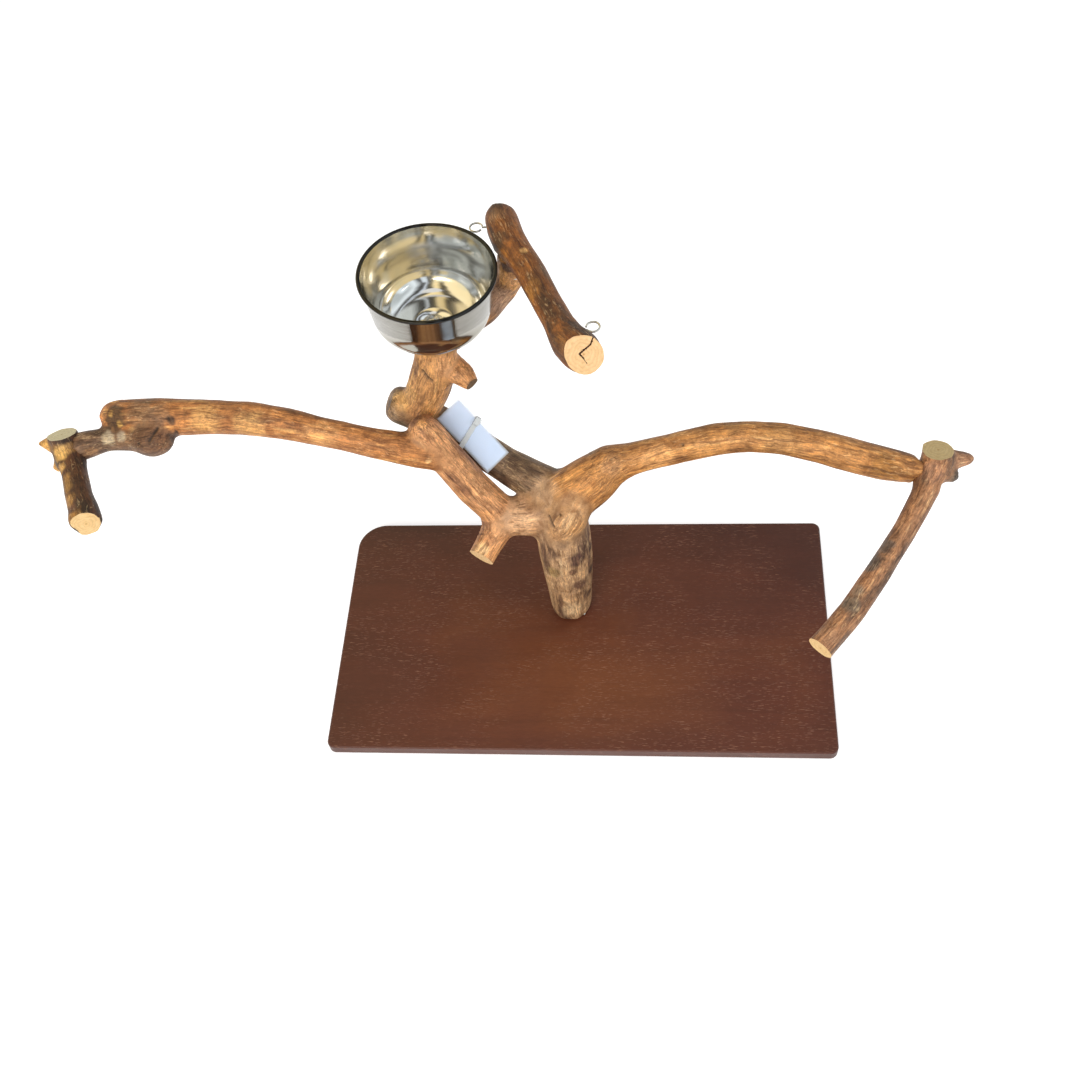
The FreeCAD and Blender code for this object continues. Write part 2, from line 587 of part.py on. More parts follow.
def strap_outline(grow):
    """The strap's run in its own plane: over the sleeve's face and snugly round the stem behind it."""
    right_bend, right_touch = strap_side(1, grow)
    left_bend, left_touch = strap_side(-1, grow)
    under = Vector(0, -sleeve_base() - grow, 0)
    return Part.Wire([Part.makeLine(left_touch, left_bend), Part.makeLine(left_bend, right_bend),
                      Part.makeLine(right_bend, right_touch),
                      Part.Arc(right_touch, under, left_touch).toShape()])


def make_tie():
    """Nylon cable tie: a strap with its ratchet head at the card's upper edge."""
    band = Part.Face(strap_outline(TIE_THICKNESS)).extrude(Vector(0, 0, TIE_WIDTH))
    band = band.cut(Part.Face(strap_outline(0)).extrude(Vector(0, 0, TIE_WIDTH)))
    bend, _ = strap_side(-1, 0)
    head = Part.makeBox(TIE_HEAD_LENGTH, TIE_HEAD_HEIGHT, TIE_HEAD_WIDTH,
                        Vector(bend.x, bend.y, (TIE_WIDTH - TIE_HEAD_WIDTH) / 2))
    tie = band.fuse(head)
    tie.Placement = tie_frame().multiply(Placement(Vector(0, 0, -TIE_WIDTH / 2), Rotation()))
    return tie


# ---------------------------------------------------------------- assembly
def main():
    os.makedirs("parts", exist_ok=True)
    right_perch, left_perch, top_perch = make_right_perch(), make_left_perch(), make_top_perch()
    branch = make_branch().cut([right_perch, left_perch, top_perch])
    right_hole, left_hole = wood_screw_hole(*right_screw_line()), wood_screw_hole(*left_screw_line())
    dowel_hole = dowel_screw(fit=SCREW_FIT)
    eyes = eye_places()
    right_perch = right_perch.cut(right_hole)
    left_perch = left_perch.cut(left_hole)
    top_perch = top_perch.cut([dowel_hole] + [eye_hole(base, way) for base, way in eyes])
    lag_hole = rod(lag_seat(), UP, LAG_DIAMETER + 2 * SCREW_FIT, lag_length() + SCREW_FIT)
    foot_holes = [lag_hole] + [wood_screw_hole(head, UP) for head in lock_screw_places()]
    branch = branch.cut([right_hole, left_hole, dowel_hole] + bowl_cuts() + foot_holes)

    save("base_board", make_board())
    save("rubber_feet", make_feet())
    save("trunk_lag_screw", make_lag_screw())
    save("lag_washer", make_lag_washer())
    save("main_branch", branch)
    save("right_cross_perch", right_perch)
    save("left_cross_perch", left_perch)
    save("top_cross_perch", top_perch)
    save("wood_screws", make_wood_screws())
    save("dowel_screw", dowel_screw())
    save("food_bowl", make_bowl())
    save("bowl_bolt", make_bowl_bolt())
    save("bowl_washer", make_bowl_washer())
    save("seat_washer", make_seat_washer())
    save("threaded_insert", make_insert())
    save("toy_eyes", [make_eye(base, way) for base, way in eyes])
    save("hang_tag", make_tag())
    save("tag_sleeve", make_sleeve())
    save("cable_tie", make_tie())


main()
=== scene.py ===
"""Looks of a tabletop play stand for a parrot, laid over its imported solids.

A peeled, naturally forked hardwood branch stands on a mahogany stained board, with three cross
perches, a polished steel food bowl, two screw eyes for toys and a blank hang tag in a clear sleeve.

Frame: metres, +X along the board's long side, +Y away from its front edge, +Z up from the table.
"""

import json
import math

import bmesh
import bpy
import numpy as np
from bpy.props import FloatProperty, FloatVectorProperty, IntProperty, PointerProperty
from mathutils import Matrix, Vector
from mathutils.bvhtree import BVHTree


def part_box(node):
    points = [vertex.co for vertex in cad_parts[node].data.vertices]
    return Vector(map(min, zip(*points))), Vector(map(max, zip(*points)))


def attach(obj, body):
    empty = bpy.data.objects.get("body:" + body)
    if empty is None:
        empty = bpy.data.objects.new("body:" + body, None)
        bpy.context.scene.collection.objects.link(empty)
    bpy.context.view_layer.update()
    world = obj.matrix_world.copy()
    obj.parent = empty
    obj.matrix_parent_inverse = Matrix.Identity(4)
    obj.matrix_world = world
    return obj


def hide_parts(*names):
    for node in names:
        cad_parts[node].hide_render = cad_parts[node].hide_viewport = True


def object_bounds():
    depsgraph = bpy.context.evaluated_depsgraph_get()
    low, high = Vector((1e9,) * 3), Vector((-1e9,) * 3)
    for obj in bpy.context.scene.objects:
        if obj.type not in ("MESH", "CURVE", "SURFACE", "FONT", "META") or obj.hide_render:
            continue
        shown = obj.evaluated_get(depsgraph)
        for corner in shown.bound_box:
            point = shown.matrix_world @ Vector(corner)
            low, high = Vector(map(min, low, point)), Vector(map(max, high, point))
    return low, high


bl_info = {
    "name": "Parrot play stand",
    "version": (1, 0, 0),
    "blender": (4, 5, 0),
    "location": "3D View > Sidebar > Play stand",
    "description": "Peeled branch, stained board, steel bowl and hang tag of a tabletop play stand",
    "category": "Add Mesh",
}

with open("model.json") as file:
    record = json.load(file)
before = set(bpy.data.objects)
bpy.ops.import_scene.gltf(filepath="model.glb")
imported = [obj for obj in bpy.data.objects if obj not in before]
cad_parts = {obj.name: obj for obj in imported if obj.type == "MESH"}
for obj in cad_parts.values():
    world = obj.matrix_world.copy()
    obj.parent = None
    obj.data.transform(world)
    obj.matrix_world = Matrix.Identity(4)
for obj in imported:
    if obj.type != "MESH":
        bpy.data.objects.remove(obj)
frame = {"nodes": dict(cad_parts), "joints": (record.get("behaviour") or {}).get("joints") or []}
CAD_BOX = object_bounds()
MM = 0.001
UP = Vector((0, 0, 1))

# ------------------------------------------------------------------ the wood's run, in millimetres
# Stations along each limb: x, y and height from the middle of the trunk's foot, then the thickness.
TRUNK_FOOT = (-12, 30, 17)
BRANCH_LIMBS = {
    "trunk": [(0, 0, 0, 38), (0, 2, 18, 43), (0, 5, 52, 48), (-1, 10, 90, 53), (-3, 19, 122, 54),
              (-6, 30, 146, 46)],
    "burl": [(-7, 7, 126, 20), (-3, 9, 132, 36), (3, 15, 142, 43), (10, 24, 154, 38)],
    "right_limb": [(-18, 29, 138, 44), (7, 36, 151, 57), (31, 46, 165, 51), (49, 54, 175, 42),
                   (66, 55, 182, 33), (117, 55, 201, 31), (175, 52, 218, 30), (241, 36, 222, 32),
                   (322, 17, 212, 27)],
    "left_arm": [(2, 28, 140, 44), (-18, 25, 137, 44), (-38, 23, 134, 42), (-60, 22, 134, 36)],
    "left_stem": [(-82, -13, 114, 27), (-75, 0, 118, 28), (-66, 13, 126, 33), (-65, 25, 140, 38),
                  (-87, 32, 170, 37), (-109, 43, 203, 36), (-124, 50, 230, 34), (-134, 54, 246, 18)],
    "left_limb": [(-112, 44, 205, 32), (-127, 40, 216, 34), (-168, 36, 233, 28), (-226, 42, 247, 28),
                  (-291, 53, 253, 32), (-357, 58, 250, 34), (-411, 62, 245, 36), (-442, 69, 240, 20)],
    "left_twig": [(-371, 46, 242, 20), (-389, 42, 238, 36), (-408, 44, 236, 24), (-438, 47, 232, 23),
                  (-468, 40, 228, 27)],
    "rear_stem": [(-12, 44, 146, 46), (-34, 55, 153, 40), (-59, 69, 158, 36), (-85, 75, 179, 36),
                  (-114, 82, 202, 36), (-139, 87, 218, 37), (-164, 88, 235, 28)],
    "rear_limb": [(-135, 88, 226, 38), (-121, 82, 260, 40), (-108, 81, 296, 41), (-104, 82, 328, 40),
                  (-83, 100, 326, 31), (-64, 118, 326, 29), (-47, 138, 333, 28), (-36, 132, 357, 28),
                  (-31, 116, 392, 24)],
    "rear_stub": [(-100, 80, 297, 28), (-88, 71, 294, 23), (-75, 60, 288, 14)],
}
RIGHT_TIP, LEFT_TIP, REAR_TIP = (322, 17, 212), (-468, 40, 228), (-31, 116, 392)
# Stations of each cross perch, from the limb's tip that carries it.
RIGHT_PERCH_LIMBS = {
    "right_perch": [(20, 8, 17, 28), (22, 6, 8, 31), (20, 0, 0, 33), (14, -10, -4, 29), (9, -23, -7, 24),
                    (-11, -58, -14, 22), (-60, -130, -31, 24), (-90, -164, -39, 25)],
    "right_twig": [(20, 5, 3, 24), (34, 8, 3, 21), (47, 10, 1, 15), (56, 11, 0, 9)],
    "right_stub": [(22, 0, -1, 20), (34, -4, -4, 14), (41, -7, -6, 10)],
}
LEFT_PERCH_LIMBS = {
    "left_perch": [(-11, 6, 14, 27), (-9, 2, 6, 29), (-7, -5, -2, 31), (-1, -18, -4, 27), (6, -32, -4, 25),
                   (16, -55, -3, 26), (33, -89, -1, 31)],
    "left_point": [(-10, 0, 4, 24), (-22, 1, 5, 18), (-38, 2, 5, 6)],
    "left_spur": [(-8, -8, -4, 24), (-17, -13, -8, 17), (-23, -17, -11, 9)],
}
TOP_PERCH_LIMBS = {
    "top_perch": [(-13, 48, 5, 22), (-12, 41, 5, 30), (-9, 28, 6, 32), (-3, 10, 6, 31), (6, -5, 5, 28),
                  (20, -31, 5, 27), (33, -62, 5, 26), (44, -88, 7, 26), (53, -109, 8, 32), (63, -123, 10, 36),
                  (70, -134, 14, 29)],
}


# ------------------------------------------------------------------ colours
def paint(red, green, blue):
    """A colour as a display shows it, 0 to 255, turned to the linear colour that shaders use."""
    return tuple((part / 255 / 12.92) if part <= 10 else ((part / 255 + 0.055) / 1.055) ** 2.4
                 for part in (red, green, blue))


# Each limb's middle, dark and pale colour, then how much dark mottle and pale streak it shows.
LIMB_COLOURS = {
    "trunk": ((178, 142, 106), (84, 56, 44), (222, 190, 150), 0.5, 0.5),
    "burl": ((196, 150, 104), (124, 88, 60), (230, 190, 142), 0.3, 0.5),
    "right_limb": ((184, 128, 70), (122, 78, 38), (242, 190, 122), 0.38, 0.42),
    "left_arm": ((192, 148, 108), (132, 96, 66), (234, 196, 150), 0.34, 0.5),
    "left_stem": ((202, 146, 98), (128, 84, 54), (238, 188, 130), 0.4, 0.4),
    "left_limb": ((178, 118, 64), (114, 72, 38), (248, 194, 120), 0.42, 0.55),
    "left_twig": ((116, 86, 62), (68, 47, 34), (190, 166, 132), 0.58, 0.36),
    "rear_stem": ((142, 114, 86), (78, 56, 40), (200, 168, 128), 0.56, 0.5),
    "rear_limb": ((192, 140, 86), (122, 82, 48), (242, 192, 122), 0.42, 0.46),
    "rear_stub": ((208, 148, 92), (126, 86, 56), (228, 176, 116), 0.34, 0.34),
    "right_perch": ((158, 112, 76), (88, 62, 46), (220, 176, 128), 0.48, 0.4),
    "right_twig": ((168, 124, 92), (92, 64, 50), (226, 188, 146), 0.46, 0.6),
    "right_stub": ((130, 108, 88), (62, 50, 42), (188, 164, 136), 0.6, 0.3),
    "left_perch": ((80, 48, 26), (40, 26, 17), (130, 88, 38), 0.5, 0.25),
    "left_point": ((216, 162, 84), (140, 90, 44), (242, 202, 120), 0.32, 0.5),
    "left_spur": ((220, 166, 90), (144, 94, 48), (244, 206, 128), 0.32, 0.5),
    "top_perch": ((124, 74, 28), (62, 37, 17), (188, 124, 48), 0.5, 0.36),
}
# Patches that the photograph shows: pixel, radius in mm, colour and how far it covers what is under it. Most are the
# wood's own colour; a few are painted shade and painted light, marked where they stand.
BRANCH_PATCHES = [((577, 560), 8, (80, 50, 40), 0.9), ((580, 584), 7, (88, 56, 44), 0.85),
                  ((573, 572), 4, (92, 60, 46), 0.8), ((590, 545), 5, (70, 48, 38), 0.85),
                  ((591, 568), 5, (64, 44, 36), 0.85), ((589, 592), 5, (84, 60, 46), 0.8),
                  ((553, 572), 7, (148, 130, 80), 0.5), ((572, 610), 10, (222, 192, 152), 0.5),
                  # painted shade: (560, 464) here and (592, 453) on the next line darken the fork's upper edge,
                  # which turns away from the light
                  ((562, 545), 6, (92, 66, 50), 0.5), ((560, 464), 9, (128, 106, 70), 0.65),
                  ((592, 453), 7, (118, 92, 62), 0.6), ((545, 490), 14, (228, 188, 148), 0.45),
                  ((520, 520), 14, (222, 178, 138), 0.4), ((577, 526), 9, (220, 168, 112), 0.55),
                  # painted shadow: (505, 482) in the notch between the rear stem and the fork
                  ((505, 482), 8, (78, 54, 38), 0.8), ((612, 465), 9, (206, 154, 104), 0.6),
                  # painted light: (656, 460) and (704, 446) brighten the lit front of the right limb
                  ((656, 460), 15, (232, 174, 112), 0.5), ((704, 446), 18, (220, 160, 92), 0.35),
                  ((780, 445), 16, (196, 150, 92), 0.4), ((884, 471), 14, (146, 98, 38), 0.8),
                  ((310, 428), 12, (168, 108, 56), 0.6), ((735, 425), 9, (140, 104, 62), 0.5),
                  ((415, 420), 7, (110, 66, 38), 0.8), ((404, 433), 6, (104, 66, 40), 0.7),
                  ((422, 425), 3.4, (240, 178, 112), 0.9), ((429, 461), 2.6, (240, 190, 130), 0.9),
                  ((480, 549), 7, (240, 200, 148), 0.85), ((489, 541), 4, (200, 140, 90), 0.6),
                  ((478, 535), 3, (100, 66, 42), 0.6), ((150, 438), 16, (126, 86, 56), 0.8),
                  ((171, 421), 4, (58, 40, 30), 0.85), ((176, 433), 3, (62, 44, 32), 0.8),
                  ((140, 411), 13, (132, 100, 72), 0.8), ((158, 415), 9, (128, 96, 70), 0.75),
                  ((122, 436), 5, (178, 162, 138), 0.8), ((114, 419), 12, (84, 58, 34), 0.95),
                  ((111, 414), 3, (214, 168, 92), 0.8), ((120, 424), 3, (206, 162, 88), 0.8),
                  ((107, 431), 5, (70, 48, 32), 0.8), ((108, 439), 6, (188, 172, 146), 0.9),
                  ((91, 452), 5, (166, 124, 84), 0.6), ((97, 432), 6, (72, 54, 42), 0.7),
                  ((250, 428), 14, (240, 190, 118), 0.4), ((320, 436), 14, (226, 170, 108), 0.4),
                  ((205, 420), 14, (236, 184, 112), 0.45), ((408, 385), 12, (234, 184, 112), 0.6),
                  ((424, 347), 9, (204, 150, 70), 0.6), ((402, 402), 9, (246, 194, 122), 0.75),
                  # painted shade: (398, 426), greenish, near the rear limb
                  ((398, 426), 9, (120, 106, 70), 0.7), ((450, 366), 13, (206, 152, 106), 0.55),
                  ((433, 352), 6, (134, 98, 60), 0.5), ((473, 385), 3.6, (66, 54, 42), 0.95),
                  ((496, 300), 16, (150, 120, 102), 0.85), ((507, 268), 6, (64, 46, 42), 0.9),
                  ((455, 383), 5, (128, 92, 64), 0.5), ]
RIGHT_PERCH_PATCHES = [((872, 562), 9, (92, 82, 76), 0.85), ((885, 546), 7, (98, 86, 78), 0.8),
                       ((851, 604), 8, (112, 98, 82), 0.7), ((858, 590), 5, (170, 150, 126), 0.5),
                       ((932, 472), 9, (184, 134, 102), 0.4), ((829, 636), 8, (170, 126, 92), 0.6),
                       ((958, 477), 5, (74, 62, 52), 0.9), ((905, 505), 8, (132, 88, 60), 0.5), ]
LEFT_PERCH_PATCHES = [((66, 488), 7, (150, 110, 54), 0.8), ((68, 502), 8, (156, 114, 58), 0.8),
                      ((73, 520), 9, (170, 124, 62), 0.8), ((82, 462), 6, (48, 34, 26), 0.8),
                      ((61, 470), 6, (214, 166, 92), 0.8), ((60, 454), 7, (222, 176, 100), 0.85),
                      ((70, 448), 5, (190, 146, 84), 0.6), ((66, 478), 5, (176, 130, 66), 0.7), ]
TOP_PERCH_PATCHES = [((500, 262), 9, (178, 122, 52), 0.7), ((531, 292), 9, (160, 108, 44), 0.7),
                     ((524, 250), 3, (228, 180, 112), 0.8), ((545, 272), 7, (120, 88, 60), 0.6),
                     ((572, 316), 8, (148, 104, 64), 0.5), ((497, 214), 7, (150, 112, 76), 0.5),
                     ((499, 240), 8, (70, 46, 26), 0.8), ((560, 345), 8, (140, 96, 50), 0.5), ]


# ------------------------------------------------------------------ noise and the limbs' own directions
def lumps(points, seed):
    """Smooth noise from -1 to 1 at each point, its lumps one unit across."""
    cell = np.floor(points).astype(np.int64)
    step = points - cell
    step = step * step * (3 - 2 * step)
    total = np.zeros(len(points))
    for corner in np.ndindex(2, 2, 2):
        spot = cell + corner
        mixed = spot[:, 0] * 374761393 + spot[:, 1] * 668265263 + spot[:, 2] * 1442695041 + seed * 1274126177
        mixed = (mixed ^ (mixed >> 13)) * 1103515245
        mixed = (mixed ^ (mixed >> 16)) & 0xFFFFF
        weight = np.prod(np.where(corner, step, 1 - step), axis=1)
        total += weight * (mixed / 0x7FFFF - 1)
    return total


def rough(points, seed, octaves=3):
    """Lumps on lumps, each half as large and half as high as the last, from about -1 to 1."""
    total, height = np.zeros(len(points)), 1.0
    for octave in range(octaves):
        total += height * lumps(points * 2 ** octave, seed + octave)
        height /= 2
    return total / (2 - 2 * height)


def ease(values, low, high):
    """0 below low, 1 above high and smooth between them."""
    share = np.clip((values - low) / (high - low), 0, 1)
    return share * share * (3 - 2 * share)


class Limb:
    """A limb's middle line in metres, with the cross directions that run along it without twist."""

    def __init__(self, name, origin, stations):
        rows = np.array(stations, float)
        self.name = name
        self.points = (rows[:, :3] + np.array(origin)) * MM
        self.radii = rows[:, 3] / 2 * MM
        runs = np.diff(self.points, axis=0)
        self.lengths = np.linalg.norm(runs, axis=1)
        self.starts = np.concatenate([[0], np.cumsum(self.lengths)])
        axes = runs / self.lengths[:, None]
        self.axes = np.vstack([axes[:1], (axes[1:] + axes[:-1]), axes[-1:]])
        self.axes /= np.linalg.norm(self.axes, axis=1)[:, None]
        across, side = [], np.array([0.31, 0.23, 0.92])
        for axis in self.axes:
            side = side - axis * side.dot(axis)
            side /= np.linalg.norm(side)
            across.append(side)
        self.across = np.array(across)

    def locate(self, spots):
        """For each spot: its distance from the middle line in radii, and its place (across, across, along)."""
        nearest = np.full(len(spots), 1e9)
        place = np.zeros((len(spots), 3))
        for index, length in enumerate(self.lengths):
            run = self.points[index + 1] - self.points[index]
            share = np.clip((spots - self.points[index]) @ run / length ** 2, 0, 1)
            middle = self.points[index] + share[:, None] * run
            away = spots - middle
            radius = self.radii[index] + share * (self.radii[index + 1] - self.radii[index])
            reach = np.linalg.norm(away, axis=1) / radius
            axis = self.axes[index] + share[:, None] * (self.axes[index + 1] - self.axes[index])
            first = self.across[index] + share[:, None] * (self.across[index + 1] - self.across[index])
            second = np.cross(axis, first)
            here = np.stack([np.einsum("ij,ij->i", away, first), np.einsum("ij,ij->i", away, second),
                             self.starts[index] + share * length], axis=1)
            closer = reach < nearest
            nearest[closer] = reach[closer]
            place[closer] = here[closer]
        return nearest, place


def limbs_of(origin, runs):
    return [Limb(name, origin, stations) for name, stations in runs.items()]


def tip(offset):
    return tuple(foot + part for foot, part in zip(TRUNK_FOOT, offset))


# ------------------------------------------------------------------ shader and mesh helpers
def node(tree, kind, inputs=None, **settings):
    """A shader node with its settings; an input is a plain value or another node's output."""
    made = tree.nodes.new(kind)
    for key, value in settings.items():
        setattr(made, key, value)
    for key, value in (inputs or {}).items():
        if isinstance(value, bpy.types.NodeSocket):
            tree.links.new(value, made.inputs[key])
        else:
            made.inputs[key].default_value = value
    return made


def ramp(tree, factor, stops):
    """A colour ramp node fed by factor; stops are (place, colour) pairs."""
    made = node(tree, "ShaderNodeValToRGB", {"Fac": factor})
    elements = made.color_ramp.elements
    while len(elements) < len(stops):
        elements.new(0.5)
    for element, (place, colour) in zip(elements, stops):
        element.position = place
        element.color = (*colour[:3], 1)
    return made.outputs["Color"]


def grey(value):
    return (value, value, value)


def noise(tree, vector, scale, detail=4.0, roughness=0.55, distortion=0.0):
    made = node(tree, "ShaderNodeTexNoise", {"Vector": vector, "Scale": scale, "Detail": detail,
                                             "Roughness": roughness, "Distortion": distortion})
    return made.outputs["Fac"]


def stretched(tree, vector, scale):
    made = node(tree, "ShaderNodeMapping", {"Vector": vector, "Scale": scale})
    return made.outputs["Vector"]


def blend(tree, factor, first, second, mode="MIX"):
    made = node(tree, "ShaderNodeMix", data_type="RGBA", blend_type=mode)
    for index, value in ((0, factor), (6, first), (7, second)):
        if isinstance(value, bpy.types.NodeSocket):
            tree.links.new(value, made.inputs[index])
        else:
            made.inputs[index].default_value = value if index == 0 else (*value[:3], 1)
    return made.outputs[2]


def arithmetic(tree, operation, first, second):
    made = node(tree, "ShaderNodeMath", operation=operation)
    for index, value in enumerate((first, second)):
        if isinstance(value, bpy.types.NodeSocket):
            tree.links.new(value, made.inputs[index])
        else:
            made.inputs[index].default_value = value
    return made.outputs[0]


def times(tree, first, second):
    return arithmetic(tree, "MULTIPLY", first, second)


def plus(tree, first, second):
    return arithmetic(tree, "ADD", first, second)


def tinted(tree, first, second):
    """Two colours multiplied."""
    return blend(tree, 1.0, first, second, "MULTIPLY")


def vector_maths(tree, operation, *values):
    made = node(tree, "ShaderNodeVectorMath", dict(enumerate(values)), operation=operation)
    return made.outputs["Value" if operation in ("LENGTH", "DOT_PRODUCT") else "Vector"]


def spread(tree, value, low, high, kind="SMOOTHSTEP"):
    """value taken from low..high to 0..1, and held there outside."""
    made = node(tree, "ShaderNodeMapRange", {"Value": value, "From Min": low, "From Max": high},
                interpolation_type=kind)
    return made.outputs["Result"]


def finish_of(name, inputs):
    """A new material with one Principled shader; inputs are its plain values. Gives (material, tree, shader)."""
    material = bpy.data.materials.new(name)
    material.use_nodes = True
    tree = material.node_tree
    shader = tree.nodes["Principled BSDF"]
    for key, value in inputs.items():
        shader.inputs[key].default_value = value
    return material, tree, shader


def bump(tree, shader, height, distance, strength=1.0):
    made = node(tree, "ShaderNodeBump", {"Height": height, "Distance": distance, "Strength": strength})
    tree.links.new(made.outputs["Normal"], shader.inputs["Normal"])


def place_vector(tree):
    """Where the surface is, in the object's own metres."""
    return node(tree, "ShaderNodeTexCoord").outputs["Object"]


def new_piece(name, mesh, materials, body="stand"):
    """Puts a mesh in the scene as a piece that rides on a body."""
    piece = bpy.data.objects.new(name, mesh)
    bpy.context.scene.collection.objects.link(piece)
    for material in materials:
        mesh.materials.append(material)
    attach(piece, body)
    return piece


def dress(name, material):
    """Gives a carried-over solid its material."""
    target = frame["nodes"][name]
    target.data.materials.clear()
    target.data.materials.append(material)
    return target


def mesh_from(name, build, smooth=True):
    """A mesh made by build, which fills an empty bmesh."""
    work = bmesh.new()
    build(work)
    bmesh.ops.recalc_face_normals(work, faces=work.faces)
    for face in work.faces:
        face.smooth = smooth
    mesh = bpy.data.meshes.new(name)
    work.to_mesh(mesh)
    work.free()
    return mesh


def lathe(work, profile, place, sides=96):
    """Turns (radius, height) points about the place's Z; a radius of 0 closes the form there."""
    rings = []
    for radius, height in profile:
        count = 1 if radius == 0 else sides
        rings.append([work.verts.new(place @ Vector((radius * math.cos(2 * math.pi * step / sides),
                                                     radius * math.sin(2 * math.pi * step / sides), height)))
                      for step in range(count)])
    for low, high in zip(rings, rings[1:]):
        for step in range(sides):
            after = (step + 1) % sides
            corners = [low[step % len(low)], low[after % len(low)], high[after % len(high)],
                       high[step % len(high)]]
            distinct = list(dict.fromkeys(corners))
            if len(distinct) > 2:
                work.faces.new(distinct)


def standing(base, axis):
    """A place whose Z runs along axis from base."""
    turn = axis.to_track_quat("Z", "Y").to_matrix().to_4x4()
    return Matrix.Translation(base) @ turn


# ------------------------------------------------------------------ the camera that took the photograph
class StageSettings(bpy.types.PropertyGroup):
    camera_place: FloatVectorProperty(name="Camera place", description="Where the camera stands",
                                      default=(0.08671, -0.6577, 1.15339), subtype="TRANSLATION",
                                      unit="LENGTH")
    camera_dip: FloatProperty(name="Camera dip", description="How far the camera looks down",
                              default=math.radians(55.37), subtype="ANGLE", unit="ROTATION")
    camera_yaw: FloatProperty(name="Camera yaw",
                              description="How far it looks to the left of the board's depth",
                              default=math.radians(10.08), subtype="ANGLE", unit="ROTATION")
    camera_roll: FloatProperty(name="Camera roll", description="How far its picture is turned",
                               default=math.radians(8.57), subtype="ANGLE", unit="ROTATION")
    lens: FloatProperty(name="Lens", description="Focal length on a 36 mm wide sensor", default=41.667,
                        unit="CAMERA")
    floor_colour: FloatVectorProperty(name="Floor", description="Colour of the floor", default=grey(0.82),
                                      subtype="COLOR")


def camera_turn(settings):
    """The camera's rotation: columns are its right, its up and its back."""
    dip, yaw, roll = settings.camera_dip, -settings.camera_yaw, settings.camera_roll
    ahead = Vector((math.sin(yaw) * math.cos(dip), math.cos(yaw) * math.cos(dip), -math.sin(dip)))
    right = Vector((math.cos(yaw), -math.sin(yaw), 0))
    down = ahead.cross(right)
    turned_right = right * math.cos(roll) + down * math.sin(roll)
    turned_down = down * math.cos(roll) - right * math.sin(roll)
    return Matrix((turned_right, -turned_down, -ahead)).transposed()


PICTURE_SIDE = 1080


def seen_at(tree, pixel):
    """Where the photograph's pixel meets the wood, or the wood that its line of sight passes nearest."""
    settings = bpy.context.scene.stand_stage
    scale = 36 / settings.lens / PICTURE_SIDE
    ray = Vector(((pixel[0] - PICTURE_SIDE / 2) * scale, (PICTURE_SIDE / 2 - pixel[1]) * scale, -1))
    eye, sight = Vector(settings.camera_place), (camera_turn(settings) @ ray).normalized()
    spot = tree.ray_cast(eye, sight)[0]
    if spot is None:
        passed = [eye + sight * (step * 2 * MM) for step in range(350, 700)]
        spot = min((tree.find_nearest(point) for point in passed), key=lambda found: found[3])[0]
    return np.array(spot)


def softbox(name, place, aim, size, power, colour, mirrored=True):
    lamp = bpy.data.lights.new(name, "AREA")
    lamp.shape = "RECTANGLE"
    lamp.size, lamp.size_y = size
    lamp.energy = power
    lamp.color = colour
    holder = bpy.data.objects.new(name, lamp)
    holder.location = place
    holder.rotation_euler = (Vector(aim) - Vector(place)).to_track_quat("-Z", "Y").to_euler()
    holder.visible_glossy = mirrored
    bpy.context.scene.collection.objects.link(holder)


# Dark and bright upright bands of the room across its width: place from 0 to 1, linear colour.
ROOM_TONES = [(0.04, (0.5, 0.56, 0.6)), (0.18, (0.9, 1.0, 1.1)), (0.27, grey(0.07)), (0.33, grey(0.06)),
              (0.38, (0.85, 0.95, 1.1)), (0.43, (0.07, 0.065, 0.05)), (0.5, (0.12, 0.11, 0.08)),
              (0.54, (1.15, 0.95, 0.55)), (0.62, (1.0, 0.8, 0.42)), (0.66, (0.08, 0.07, 0.05)),
              (0.73, (0.14, 0.12, 0.09)), (0.78, (1.2, 1.0, 0.62)), (0.95, (1.1, 0.92, 0.55))]
# Windows in the room's wall: middle, half width and half height in metres, colour.
WINDOWS = [((-1.6, -0.5, 1.5), (0.34, 0.75), (1.0, 0.88, 0.56)),
           ((-0.55, -1.53, 1.7), (0.32, 0.75), (1.0, 0.92, 0.66)),
           ((0.5, -1.5, 1.6), (0.16, 0.7), (0.78, 0.88, 1.0)),
           ((1.5, -0.3, 1.5), (0.24, 0.7), (0.8, 0.9, 1.0)),
           ((1.1, 1.3, 1.2), (0.3, 0.5), (0.95, 0.84, 0.56)),
           ((-0.9, 1.6, 1.1), (0.2, 0.4), (0.8, 0.76, 0.62))]
ROOM_PROFILE = [(1.7, 0.45), (1.7, 2.5), (0.45, 3.0)]     # radius and height of the wall and its slope, in metres
ROOM_MIDDLE = (-0.1, 0.1, 0)
WINDOW_EDGE = 0.04                                        # half the width of a window's soft edge


